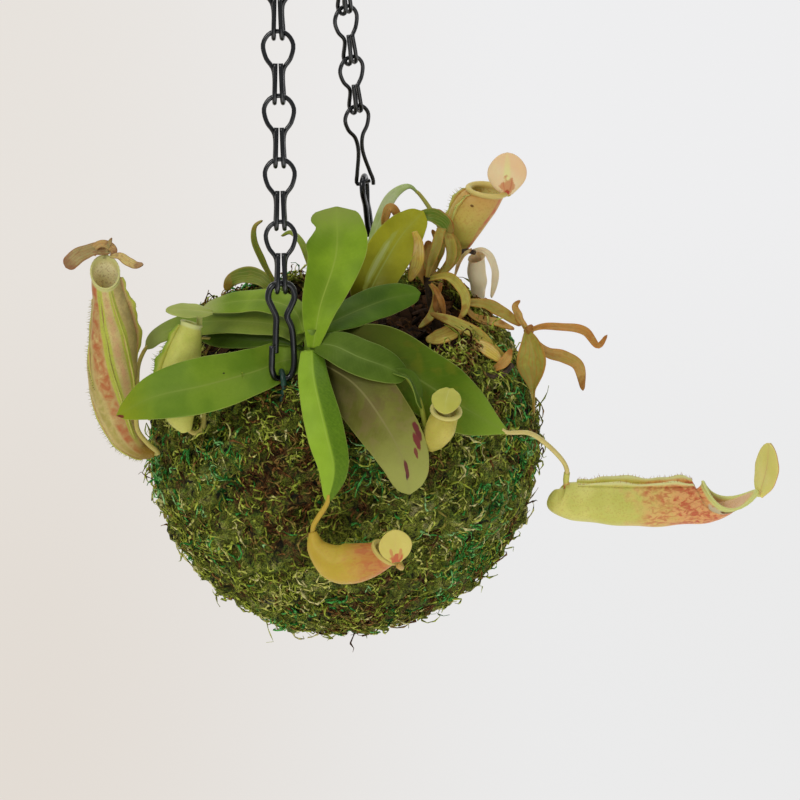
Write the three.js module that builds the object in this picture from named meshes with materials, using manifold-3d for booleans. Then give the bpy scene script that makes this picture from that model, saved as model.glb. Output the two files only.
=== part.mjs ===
// A pitcher plant in a ball of moss that hangs from two wire chains and one hook.
// Millimetres, +Z up. The origin is the top of the hook's upper bend, on its inner side, where the
// plant hangs. The front of the plant faces -Y.
import * as THREE from "three";
import { mergeVertices } from "three/addons/utils/BufferGeometryUtils.js";
import Module from "manifold-3d";

const wasm = await Module();
wasm.setup();

// Driving dimensions

// The ball's centre lies this far below the hanging point, and a little to one side of it.
const BALL_DROP = 376;
const BALL_SHIFT = -2.5;
const BALL_RADIUS = 65;
const MOSS_THICKNESS = 5;
const MOSS_RELIEF = 0.9;
// The moss opening: its height above the ball's centre, and its slope from front to back.
const RIM_HEIGHT = 41;
const RIM_SLOPE = 0.06;
const CLEARANCE = 0.3;

const HOOK_WIRE = 1.5;
const HOOK_UPPER_BEND = 9;
const HOOK_LOWER_BEND = 6.5;
const HOOK_LENGTH = 50;

const CHAIN_WIRE = 0.7;
const LINKS = 14;
const BACK_STRETCH = 9;
const CLIP_WIRE = 1;
const CLIP_HEIGHT = 29.6;
const SLING_WIRE = 0.9;
const SLING_EYE = 2.7;

const BLADE = 0.7;
const TENDRIL = 0.75;
const PITCHER_WALL = 0.8;
const PITCHER_LIP = 0.45;
const WING_THICKNESS = 0.7;
const LID_NECK = 0.85;

// Where the clips hold the sling's eyes, from the ball's centre, and how far the clips are turned
// about the line of their chain, in degrees.
const FRONT_EYE = new THREE.Vector3(-16, -46, 42);
const BACK_EYE = new THREE.Vector3(12.8, 48, 50.8);
const FRONT_CLIP_TWIST = 10;
const BACK_CLIP_TWIST = 80;

const COLOURS = {
  moss: 0x4c6420,
  soil: 0x2e2118,
  chain: 0x16191a,
  hook: 0x16191a,
  sling: 0x1f4a34,
  leaf: 0x6c9a2c,
  paleLeaf: 0x86b03a,
  oliveLeaf: 0x848a3a,
  stem: 0x7f9a40,
  pitcher: 0xb4b455,
  amber: 0xc2a245,
  withered: 0xa88a45,
  beige: 0xc7ac7c,
};

// Helpers

const vector = (list) => new THREE.Vector3(...list);
const curveOf = (list) =>
  new THREE.CatmullRomCurve3(list.map(vector), false, "centripetal");

// The value at t of a list of [t, value, value...] rows, between which it changes evenly.
function between(rows, t, column = 1) {
  const next = rows.findIndex((row) => row[0] >= t);
  if (next === 0) return rows[0][column];
  if (next < 0) return rows[rows.length - 1][column];
  const [low, high] = [rows[next - 1], rows[next]];
  return THREE.MathUtils.mapLinear(t, low[0], high[0], low[column], high[column]);
}

// A closed surface through rings of equally many points, with both ends capped. The two faces of a
// blade are split into the same triangles.
function skin(rings, isBlade = false) {
  const count = rings[0].length;
  const half = count / 2;
  const last = (rings.length - 1) * count;
  const index = [];
  for (let ring = 0; ring < rings.length - 1; ring++) {
    for (let side = 0; side < count; side++) {
      const a = ring * count + side;
      const b = ring * count + ((side + 1) % count);
      const [c, d] = [a + count, b + count];
      if (isBlade && side >= half) index.push(a, b, c, b, d, c);
      else index.push(a, b, d, a, d, c);
    }
  }
  if (isBlade) {
    for (let side = 0; side < half - 1; side++) {
      const [p, q] = [count - 1 - side, count - 2 - side];
      index.push(side, q, side + 1, side, p, q);
      index.push(last + side, last + side + 1, last + q, last + side, last + q, last + p);
    }
  } else {
    for (let side = 1; side < count - 1; side++) {
      index.push(0, side + 1, side);
      index.push(last, last + side, last + side + 1);
    }
  }
  const positions = rings.flat().flatMap((point) => point.toArray());
  const geometry = new THREE.BufferGeometry();
  geometry.setAttribute("position", new THREE.Float32BufferAttribute(positions, 3));
  geometry.setIndex(index);
  return geometry;
}

function solidOf(geometry) {
  const bare = geometry.clone();
  bare.deleteAttribute("normal");
  bare.deleteAttribute("uv");
  const merged = mergeVertices(bare, 1e-4);
  return new wasm.Manifold(
    new wasm.Mesh({
      numProp: 3,
      vertProperties: merged.attributes.position.array,
      triVerts: new Uint32Array(merged.index.array),
    }),
  );
}

function geometryOf(solid) {
  const { vertProperties, triVerts, numProp } = solid.getMesh();
  const geometry = new THREE.BufferGeometry();
  const positions = [];
  for (let at = 0; at < vertProperties.length; at += numProp) {
    positions.push(...vertProperties.subarray(at, at + 3));
  }
  geometry.setAttribute("position", new THREE.Float32BufferAttribute(positions, 3));
  geometry.setIndex(Array.from(triVerts));
  return geometry;
}

const joined = (solids) => solids.reduce((whole, piece) => whole.add(piece));
const biggest = (solid) =>
  solid.decompose().reduce((best, body) => (body.volume() > best.volume() ? body : best));

// Rings of a round wire or stem through the points themselves, by parallel transport.
function tube(points, radius, sides = 6) {
  const tangentAt = (at) => {
    const before = points[Math.max(at - 1, 0)];
    const after = points[Math.min(at + 1, points.length - 1)];
    return after.clone().sub(before).normalize();
  };
  let tangent = tangentAt(0);
  let across = new THREE.Vector3(0.31, 0.52, 0.79).cross(tangent).normalize();
  return skin(
    points.map((point, at) => {
      const turn = new THREE.Quaternion().setFromUnitVectors(tangent, tangentAt(at));
      tangent = tangentAt(at);
      across = across.applyQuaternion(turn);
      const other = tangent.clone().cross(across);
      return Array.from({ length: sides }, (_, side) => {
        const angle = (side / sides) * 2 * Math.PI;
        return point
          .clone()
          .addScaledVector(across, radius * Math.cos(angle))
          .addScaledVector(other, radius * Math.sin(angle));
      });
    }),
  );
}

const stemSolid = (list, radius, grow = 0, parts = 8, sides = 6) =>
  solidOf(tube(curveOf(list).getPoints(parts), radius + grow, sides));

// Leaf outlines: [share of the length, half width on one side, on the other], 1 being the widest.
const OUTLINES = {
  strap: [
    [0, 0.2, 0.2],
    [0.12, 0.24, 0.24],
    [0.3, 0.62, 0.62],
    [0.5, 0.92, 0.92],
    [0.66, 1, 1],
    [0.82, 0.86, 0.86],
    [0.93, 0.5, 0.5],
    [1, 0.12, 0.12],
  ],
  waisted: [
    [0, 0.24, 0.24],
    [0.12, 0.26, 0.26],
    [0.35, 0.5, 0.5],
    [0.6, 0.86, 0.86],
    [0.74, 1, 1],
    [0.82, 0.8, 0.96],
    [0.86, 0.7, 0.9],
    [0.91, 0.86, 0.82],
    [0.97, 0.66, 0.6],
    [1, 0.3, 0.3],
  ],
  broad: [
    [0, 0.28, 0.28],
    [0.1, 0.5, 0.5],
    [0.28, 0.86, 0.86],
    [0.5, 1, 1],
    [0.7, 0.97, 0.97],
    [0.88, 0.7, 0.7],
    [1, 0.2, 0.2],
  ],
  tongue: [
    [0, 0.38, 0.38],
    [0.12, 0.64, 0.64],
    [0.3, 0.86, 0.86],
    [0.5, 1, 1],
    [0.68, 0.94, 0.94],
    [0.84, 0.68, 0.68],
    [0.94, 0.36, 0.36],
    [1, 0.12, 0.12],
  ],
  slender: [
    [0, 0.45, 0.45],
    [0.25, 0.75, 0.75],
    [0.55, 1, 1],
    [0.8, 0.8, 0.8],
    [1, 0.3, 0.3],
  ],
  oval: [
    [0, 0.3, 0.3],
    [0.2, 0.75, 0.75],
    [0.45, 1, 1],
    [0.75, 0.85, 0.85],
    [0.92, 0.5, 0.5],
    [1, 0.2, 0.2],
  ],
};

// A thin arched blade along a spine. Its upper face looks along face[0] at the base and face[1] at
// the tip, and cup lifts both edges.
function blade(leaf, grow = 0) {
  const { spine, width, face, outline = "strap", cup = 0 } = leaf;
  const { stations = 9, across = leaf.width > 5.6 ? 5 : 3, thickness = BLADE } = leaf;
  const curve = curveOf(spine);
  const faces = face.map(vector);
  const rings = [];
  for (let station = 0; station < stations; station++) {
    const t = station / (stations - 1);
    const centre = curve.getPointAt(t);
    const tangent = curve.getTangentAt(t);
    const up = faces[0].clone().lerp(faces[1] ?? faces[0], t);
    up.addScaledVector(tangent, -up.dot(tangent)).normalize();
    const side = up.clone().cross(tangent);
    if (grow && station === 0) centre.addScaledVector(tangent, -grow);
    if (grow && station === stations - 1) centre.addScaledVector(tangent, grow);
    const ring = [];
    for (let at = 0; at < 2 * across; at++) {
      const isTop = at < across;
      const column = isTop ? at : 2 * across - 1 - at;
      const s = 1 - (2 * column) / (across - 1);
      const half = width * between(OUTLINES[outline], t, s > 0 ? 1 : 2) + grow;
      const lift = cup * width * s * s * Math.sin(Math.PI * Math.min(t + 0.15, 1));
      ring.push(
        centre
          .clone()
          .addScaledVector(side, half * s)
          .addScaledVector(up, lift + (isTop ? 0.5 : -0.5) * (thickness + 2 * grow)),
      );
    }
    rings.push(ring);
  }
  return solidOf(skin(rings, true));
}

// A leaf whose tip runs out into a tendril.
function leafSolid(leaf, grow = 0) {
  const body = blade(leaf, grow);
  if (!leaf.tendril) return body;
  const tip = leaf.spine[leaf.spine.length - 1];
  const before = leaf.spine[leaf.spine.length - 2];
  const start = vector(tip).lerp(vector(before), 0.25).toArray();
  return body.add(stemSolid([start, tip, ...leaf.tendril], TENDRIL, grow, 7, 5));
}

// Pitchers: a hollow cup through rings given as [x, y, z, half width towards the front, half width
// across, tilt of the ring's plane towards the front in degrees].
const PITCHER_SIDES = 8;
const PITCHER_STATIONS = 7;
const LIP_START = 0.96;
const WING_STEPS = 4;
// How far each wing stands from the middle of the pitcher's front, in radians.
const WING_ANGLE = 0.42;
// Where a mouth's sides start to dip below its front and back.
const SADDLE_START = 0.8;

function pitcherSolid(pitcher, grow = 0) {
  const { rings, front, floor = 0.3, saddle = 0, wings, lid, stub } = pitcher;
  const curve = new THREE.CatmullRomCurve3(
    rings.map((ring) => vector(ring.slice(0, 3))),
    false,
    "centripetal",
  );
  const rows = rings.map((ring, at) => [at / (rings.length - 1), ...ring.slice(3)]);
  const frontWay = vector(front);

  // One point of the wall: at t along the cup, at an angle from its front, offset outwards.
  const wallPoint = (t, angle, offset) => {
    const centre = curve.getPoint(t);
    const tangent = curve.getTangent(t);
    const ahead = frontWay.clone().addScaledVector(tangent, -frontWay.dot(tangent)).normalize();
    const across = tangent.clone().cross(ahead);
    const tilt = THREE.MathUtils.degToRad(between(rows, t, 3));
    const slanted = ahead
      .clone()
      .multiplyScalar(Math.cos(tilt))
      .addScaledVector(tangent, -Math.sin(tilt));
    const normal = tangent
      .clone()
      .multiplyScalar(Math.cos(tilt))
      .addScaledVector(ahead, Math.sin(tilt));
    const [half, wide] = [between(rows, t, 1) + offset, between(rows, t, 2) + offset];
    const dip = saddle * Math.sin(angle) ** 2 * THREE.MathUtils.smoothstep(t, SADDLE_START, 1);
    return centre
      .addScaledVector(slanted, half * Math.cos(angle))
      .addScaledVector(across, wide * Math.sin(angle))
      .addScaledVector(normal, -dip);
  };
  const ringAt = (t, offset) =>
    Array.from({ length: PITCHER_SIDES }, (_, side) =>
      wallPoint(t, (side / PITCHER_SIDES) * 2 * Math.PI, offset),
    );

  const outside = Array.from({ length: PITCHER_STATIONS }, (_, at) =>
    ringAt(at / (PITCHER_STATIONS - 1), grow),
  );
  const lip = ringAt(1, grow + PITCHER_LIP);
  const inside = Array.from({ length: PITCHER_STATIONS - 3 }, (_, at) =>
    ringAt(THREE.MathUtils.lerp(1, floor, at / (PITCHER_STATIONS - 4)), -PITCHER_WALL),
  );
  const cup = [...outside.slice(0, -1), ringAt(LIP_START, grow), lip];
  const parts = [solidOf(skin(grow ? [...outside.slice(0, -1), lip] : [...cup, ...inside]))];

  const wingAngle = wings?.angle ?? WING_ANGLE;
  for (const angle of wings ? [-wingAngle, wingAngle] : []) {
    const ridge = Array.from({ length: WING_STEPS + 1 }, (_, at) => {
      const along = at / WING_STEPS;
      const t = THREE.MathUtils.lerp(wings.from, wings.to, along);
      const height = wings.height * Math.sin(Math.PI * (0.12 + 0.76 * along)) + grow;
      const thick = (WING_THICKNESS / 2 + grow) / between(rows, t, 2);
      return [
        wallPoint(t, angle - thick, -0.4),
        wallPoint(t, angle + thick, -0.4),
        wallPoint(t, angle + thick, height),
        wallPoint(t, angle - thick, height),
      ];
    });
    parts.push(solidOf(skin(ridge.map((ring) => ring.reverse()))));
  }
  if (lid) {
    const base = wallPoint(1, Math.PI, -0.1).toArray();
    parts.push(stemSolid([base, ...lid.neck], LID_NECK, grow, 3, 5));
    parts.push(blade({ across: 3, stations: 8, outline: "oval", ...lid }, grow));
  }
  if (stub) parts.push(stemSolid(stub, TENDRIL + 0.25, grow, 3, 5));
  return joined(parts);
}

// The chains

const HOOK_POINT = new THREE.Vector3(-BALL_SHIFT, 0, BALL_DROP - HOOK_LENGTH);
const EYE_SEAT = HOOK_WIRE + CHAIN_WIRE + 0.35;
const SEAT_SPREAD = 1.5;
const LINK_GAP = 0.16;
const BAR_LINK_WAIST = -16;

// One side of a link's eye, from beside its top.
const LINK_EYE = [
  [2.6, 0, -0.8],
  [4.4, 0, -3.7],
  [3.6, 0, -7.8],
  [1.5, 0, -11],
];
const LINK_LEG = 1.4;
const LINK_END = { x: 0.78, y: -1.55, z: -9.2 };
const mirrored = (points) => points.map(([x, y, z]) => [-x, y, z]).reverse();

// A link's wire, from one cut end over its eye to the other. held is the radius of the wire in its
// folds, and slope is how fast that wire falls away to the sides.
function linkPoints(pitch, { held, slope }) {
  const fold = (held + CHAIN_WIRE + LINK_GAP) / Math.cos(Math.PI / 6);
  const foldHeight = -pitch - slope * LINK_LEG;
  const half = [...LINK_EYE];
  for (const turn of [0, 60, 120, 180]) {
    const angle = THREE.MathUtils.degToRad(turn);
    const x = THREE.MathUtils.mapLinear(turn, 0, 180, LINK_LEG, LINK_LEG - 0.3);
    half.push([x, fold * Math.cos(angle), foldHeight - fold * Math.sin(angle)]);
  }
  half.push([LINK_END.x, LINK_END.y, LINK_END.z]);
  return [...mirrored(half), [0, 0, 0], ...half].map(vector);
}

// The lowest back link: below its eye the wire spreads into a triangle, and the clip hangs on the
// bar at its foot.
function barLinkPoints(pitch) {
  const bar = -pitch - CLIP_WIRE - CHAIN_WIRE - LINK_GAP;
  const left = [
    [2.3, 0, bar],
    [0, 0, bar],
    [-2.3, 0, bar],
    [-2.8, 0, bar + 0.9],
    [-2.2, 0, bar + 4],
    [-0.78, 0, BAR_LINK_WAIST],
    ...mirrored(LINK_EYE),
  ];
  const right = [
    ...LINK_EYE,
    [0.78, 0, BAR_LINK_WAIST],
    [2.2, -0.9, bar + 4],
    [2.8, -1.6, bar + 0.9],
    [2.7, -1.7, bar - 0.9],
  ];
  return [...left, [0, 0, 0], ...right].map(vector);
}

// A clip's wire: a round eye at the top, a spring leg that ends free, and a leg that turns along
// the bottom and hooks over the free one.
const CLIP_POINTS = [
  [-2, 0, 8.2],
  [-1.8, 0, 15],
  [-1.7, 0, 19.5],
  [-2.9, 0, 22.4],
  [-4, 0, 25.4],
  [-2.9, 0, 28.7],
  [0, 0, CLIP_HEIGHT],
  [2.9, 0, 28.7],
  [4, 0, 25.4],
  [2.9, 0, 22.4],
  [1.7, 0, 19.6],
  [3, 0, 16],
  [3.5, 0, 11],
  [3.4, 0, 3],
  [2, 0, 0.4],
  [0, 0, 0],
  [-2.2, -0.6, 0.6],
  [-3.3, -1.7, 3],
  [-3.4, -2.3, 7],
  [-3.2, -2.35, 10.8],
].map(vector);

// How each link holds the one below it, and how the lowest front link holds its clip.
const LINK_HOLD = { held: CHAIN_WIRE, slope: 0.3 };
const CLIP_HOLD = { held: CLIP_WIRE, slope: 0.5 };

// Everything on the line from a sling eye to the hook: the clip, then the links, each turned about
// the line by its own twist. The lowest link is longer than the others by stretch.
function chain({ side, eye, seat, twists, clipTwist, lowest, stretch }) {
  const group = new THREE.Group();
  const way = seat.clone().sub(eye);
  const length = way.length();
  const pitch = (length - CLIP_HEIGHT - stretch) / LINKS;
  group.position.copy(eye);
  group.quaternion.setFromUnitVectors(new THREE.Vector3(0, 0, 1), way.normalize());
  const add = (name, geometry, height, twist) => {
    const piece = mesh(name, geometry, COLOURS.chain, 0.35, 0.6);
    piece.position.z = height;
    piece.rotation.z = THREE.MathUtils.degToRad(twist);
    group.add(piece);
  };
  add(`clip_${side}`, tube(CLIP_POINTS, CLIP_WIRE, 6), 0, clipTwist);
  twists.forEach((twist, at) => {
    const isLowest = at === LINKS - 1;
    const points = isLowest ? lowest(pitch + stretch) : linkPoints(pitch, LINK_HOLD);
    const name = `chain_${side}_${String(at + 1).padStart(2, "0")}`;
    add(name, tube(points, CHAIN_WIRE, 5), length - at * pitch, twist);
  });
  return group;
}

// Twists from the top link down, in degrees.
const FRONT_TWISTS = Array.from({ length: LINKS }, (_, at) =>
  between([[0, 0], [5, 4], [9, -2], [13, 5]], at),
);
const BACK_TWISTS = Array.from({ length: LINKS }, (_, at) =>
  between([[0, 5], [8, 43], [9, 44], [13, 27]], at),
);

function hookSolid() {
  const arc = (radius, centre, from, to, steps) =>
    Array.from({ length: steps + 1 }, (_, at) => {
      const angle = THREE.MathUtils.degToRad(THREE.MathUtils.lerp(from, to, at / steps));
      return new THREE.Vector3(
        0,
        radius * Math.cos(angle),
        centre + radius * Math.sin(angle),
      );
    });
  const upper = arc(HOOK_UPPER_BEND, HOOK_WIRE - HOOK_UPPER_BEND, 195, -35, 9);
  const lower = arc(HOOK_LOWER_BEND, HOOK_LOWER_BEND - HOOK_LENGTH, 145, 375, 9);
  return tube([...upper, ...lower], HOOK_WIRE, 6);
}

// The ball

// Small lumps on the ball, as a height for each direction.
const lumps = (turn, rise) =>
  Math.sin(5 * turn + 3 * rise) * 0.4 +
  Math.sin(11 * turn - 7 * rise) * 0.35 +
  Math.sin(3 * turn + 13 * rise + 1) * 0.25;

// The moss and the soil share these sides and steps, so their surfaces run parallel.
const BALL_SIDES = 20;
const INNER_STEPS = 6;

function mossSolid() {
  const inner = BALL_RADIUS - MOSS_THICKNESS;
  const ring = (radius, height, relief) =>
    Array.from({ length: BALL_SIDES }, (_, side) => {
      const turn = (side / BALL_SIDES) * 2 * Math.PI;
      const out = radius + relief * lumps(turn, height / 20);
      const slope = height > 0 ? (RIM_SLOPE * height) / RIM_HEIGHT : 0;
      return new THREE.Vector3(
        out * Math.cos(turn),
        out * Math.sin(turn),
        height + slope * out * Math.sin(turn),
      );
    });
  const rings = [];
  const outerTop = Math.asin(RIM_HEIGHT / BALL_RADIUS);
  for (let at = 1; at <= 11; at++) {
    const angle = THREE.MathUtils.lerp(-Math.PI / 2, outerTop, at / 11);
    rings.push(ring(BALL_RADIUS * Math.cos(angle), BALL_RADIUS * Math.sin(angle), MOSS_RELIEF));
  }
  const rim = Math.sqrt(BALL_RADIUS ** 2 - RIM_HEIGHT ** 2);
  rings.push(ring(rim - 1.6, RIM_HEIGHT + 1.2, MOSS_RELIEF / 2));
  rings.push(ring(rim - 3.4, RIM_HEIGHT - 0.6, MOSS_RELIEF / 3));
  const innerTop = Math.asin((RIM_HEIGHT - 4) / inner);
  for (let at = INNER_STEPS; at >= 1; at--) {
    const angle = THREE.MathUtils.lerp(-Math.PI / 2, innerTop, at / INNER_STEPS);
    rings.push(ring(inner * Math.cos(angle), inner * Math.sin(angle), 0));
  }
  return solidOf(skin(rings));
}

function soilSolid() {
  const radius = BALL_RADIUS - MOSS_THICKNESS - CLEARANCE;
  const ring = (out, height, relief) =>
    Array.from({ length: BALL_SIDES }, (_, side) => {
      const turn = (side / BALL_SIDES) * 2 * Math.PI;
      const slope = height > 0 ? (RIM_SLOPE * height) / RIM_HEIGHT : 0;
      return new THREE.Vector3(
        out * Math.cos(turn),
        out * Math.sin(turn),
        height + slope * out * Math.sin(turn) + relief * lumps(turn * 2, out / 9),
      );
    });
  const rings = [];
  const top = Math.asin((RIM_HEIGHT - 4) / (BALL_RADIUS - MOSS_THICKNESS));
  for (let at = 1; at <= INNER_STEPS; at++) {
    const angle = THREE.MathUtils.lerp(-Math.PI / 2, top, at / INNER_STEPS);
    rings.push(ring(radius * Math.cos(angle), radius * Math.sin(angle), 0));
  }
  for (const out of [41, 30, 18, 7]) rings.push(ring(out, RIM_HEIGHT - 3.2, 1.3));
  return solidOf(skin(rings));
}

const BARK_CHIPS = 9;

// Bark chips, thrown on the soil by a fixed rule and sunk half into it.
function barkChips() {
  const chips = [];
  for (let at = 0; at < BARK_CHIPS; at++) {
    const turn = at * 2.4;
    const out = 6 + 34 * Math.sqrt((at + 0.5) / BARK_CHIPS);
    const chip = new THREE.BoxGeometry(7 + (at % 4), 4 + (at % 3), 2.6);
    chip.rotateX(0.5 * Math.sin(at * 1.7));
    chip.rotateY(0.45 * Math.sin(at * 2.9));
    chip.rotateZ(at * 1.1);
    const y = out * Math.sin(turn);
    chip.translate(out * Math.cos(turn), y, RIM_HEIGHT - 3 + RIM_SLOPE * y);
    chips.push(solidOf(chip));
  }
  return joined(chips);
}

// The sling: an eye at each end, and between them a wire that runs under the soil.
function slingSolid(grow = 0) {
  const radius = BALL_RADIUS - MOSS_THICKNESS - 0.6;
  const out = new THREE.Vector3(BACK_EYE.x - FRONT_EYE.x, BACK_EYE.y - FRONT_EYE.y, 0).normalize();
  // The eye stands square to the clip's lower wire, which pulls it up from inside.
  const eyeLoop = (eye, way, twist) => {
    const wide = new THREE.Vector3(0, way * SLING_EYE, 0);
    wide.applyAxisAngle(new THREE.Vector3(0, 0, 1), THREE.MathUtils.degToRad(twist));
    return [200, 150, 100, 50, 0, -50].map((angle) => {
      const turn = THREE.MathUtils.degToRad(angle);
      return eye
        .clone()
        .addScaledVector(wide, Math.cos(turn))
        .add(new THREE.Vector3(0, 0, SLING_EYE * Math.sin(turn) - 0.3));
    });
  };
  const arc = [];
  for (let step = 0; step <= 10; step++) {
    const angle = THREE.MathUtils.degToRad(THREE.MathUtils.lerp(-150, -30, step / 10));
    arc.push(
      out
        .clone()
        .multiplyScalar(radius * Math.cos(angle))
        .setZ(radius * Math.sin(angle)),
    );
  }
  const high = [-1, 1].map((way) =>
    out
      .clone()
      .multiplyScalar(way * (radius - 1.4))
      .setZ(9),
  );
  const neck = [FRONT_EYE, BACK_EYE].map((eye, at) => {
    const way = at ? 1 : -1;
    return eye
      .clone()
      .addScaledVector(out, way * 1.6)
      .add(new THREE.Vector3(0, 0, -SLING_EYE - 3.4));
  });
  const points = [
    ...eyeLoop(FRONT_EYE, -1, FRONT_CLIP_TWIST),
    neck[0],
    high[0],
    ...arc,
    high[1],
    neck[1],
    ...eyeLoop(BACK_EYE, 1, BACK_CLIP_TWIST).reverse(),
  ];
  return solidOf(tube(points, SLING_WIRE + grow, 6));
}

// The plant, from the ball's centre

const MAIN_STEM = [
  [-8, -37, 30],
  [-8, -40, 40],
  [-7, -43, 48],
  [-6, -43.5, 57],
];
const BACK_STEM = [
  [8, -3, 30],
  [8, -5, 42],
  [9, -4, 52],
];

const LEAVES = [
  {
    name: "leaf_up",
    spine: [[-5.5, -45.6, 54], [-3, -42.5, 63], [3, -37, 78], [4, -31, 91]],
    width: 9.3,
    face: [[-0.1, -0.95, 0.25]],
    outline: "waisted",
    cup: 0.12,
    stations: 13,
    colour: COLOURS.paleLeaf,
  },
  {
    name: "leaf_front",
    spine: [[-6.4, -46.4, 51], [-6.2, -58, 46], [-3.6, -70, 33], [-2, -73, 23], [-4.2, -73, 12]],
    width: 6.1,
    face: [[0, -0.5, 0.85], [0, -1, 0.2]],
    outline: "tongue",
    cup: -0.12,
    tendril: [[-7, -73, 7.6], [-8.7, -72.8, 4.8], [-9.1, -73, 3]],
    colour: COLOURS.paleLeaf,
  },
  {
    name: "leaf_left",
    spine: [
      [-10, -41.8, 46.8],
      [-16, -39.6, 45.4],
      [-23.4, -44.9, 44.8],
      [-39, -52.6, 44],
      [-55, -52, 41],
      [-67, -50, 35],
    ],
    width: 9,
    face: [[0, -0.7, 0.7], [-0.1, -0.78, 0.62]],
    cup: 0.1,
    stations: 13,
    colour: COLOURS.leaf,
  },
  {
    name: "leaf_right_high",
    spine: [[-4, -42.4, 56.2], [1, -40, 57.5], [10, -34, 59], [21, -28, 60], [31, -26, 60]],
    width: 5,
    face: [[-0.2, -0.6, 0.75], [0.1, -0.75, 0.6]],
    colour: COLOURS.leaf,
  },
  {
    name: "leaf_right_low",
    spine: [[-4.2, -45.6, 52.6], [1, -50, 53], [8, -54, 50.5], [16, -56, 47.5], [22, -56.5, 44]],
    width: 5.6,
    face: [[0, -0.7, 0.7], [0.3, -0.7, 0.6]],
    outline: "broad",
    tendril: [[25, -58, 38], [26.4, -60, 30], [26.4, -61.2, 24.5]],
    colour: COLOURS.leaf,
  },
  {
    name: "leaf_brown",
    spine: [
      [-5.2, -45.8, 47.4],
      [6.4, -56.6, 42.6],
      [14, -63, 33],
      [19.2, -66, 21.6],
      [20.6, -67, 10.4],
    ],
    width: 9.2,
    face: [[-0.1, -0.7, 0.7], [0.1, -0.97, 0.2]],
    outline: "broad",
    cup: 0.08,
    stations: 12,
    colour: COLOURS.oliveLeaf,
  },
  {
    name: "leaf_right_big",
    spine: [[-4.4, -43.2, 50], [13, -45, 48], [25, -50, 41], [35, -52, 34], [45, -50, 26], [52, -47, 20]],
    width: 10.3,
    face: [[0, -0.7, 0.7], [0.35, -0.8, 0.5]],
    cup: 0.08,
    stations: 13,
    tendril: [[59, -44, 18], [65, -40.5, 12], [70, -38.4, 5], [71.2, -37.6, 1.5]],
    colour: COLOURS.leaf,
  },
  {
    name: "leaf_left_high",
    spine: [[-8.6, -42.4, 56], [-11, -37, 62.5], [-18, -32, 65], [-29, -26, 63], [-40, -22, 60]],
    width: 4.6,
    face: [[0, -0.5, 0.85]],
    colour: COLOURS.leaf,
  },
  {
    name: "leaf_left_mid",
    spine: [[-8.8, -41.6, 53], [-15, -36, 56.5], [-29, -28, 56.5], [-45, -22, 54], [-59, -20, 50]],
    width: 5.5,
    face: [[0, -0.5, 0.85]],
    tendril: [
      [-62.5, -22, 45],
      [-61.5, -29, 38],
      [-59, -34, 31],
      [-59, -36, 23],
      [-59.2, -34.8, 17.6],
      [-60.1, -34.6, 15.4],
    ],
    colour: COLOURS.leaf,
  },
  {
    name: "leaf_left_low",
    spine: [[-9.2, -41.4, 49.6], [-16, -36, 51], [-29, -29, 49.5], [-39, -26, 48.5]],
    width: 4,
    face: [[0, -0.5, 0.85]],
    tendril: [[-42, -28, 46], [-42, -33, 41], [-41.4, -39, 34], [-42, -44.6, 27], [-44.6, -44.4, 25.2]],
    colour: COLOURS.leaf,
  },
  {
    name: "leaf_back_glossy",
    spine: [[9.8, -6.8, 49], [12.6, -9, 57], [18, -5, 65], [24, 0, 72], [31, 3, 78]],
    width: 7.6,
    face: [[-0.2, -0.9, 0.4]],
    outline: "broad",
    cup: 0.3,
    colour: COLOURS.paleLeaf,
  },
  {
    name: "leaf_back_arched",
    spine: [[9.6, -1.6, 49], [11, 8, 56], [15, 14, 71], [21, 20, 81], [27, 22, 83], [30, 22, 79.5]],
    width: 3,
    face: [[-0.6, -0.5, 0.6], [0.4, -0.3, 0.85]],
    tendril: [[34, 20, 73], [37.4, 18.4, 65], [39.4, 18, 59.6]],
    colour: COLOURS.leaf,
  },
];

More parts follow.
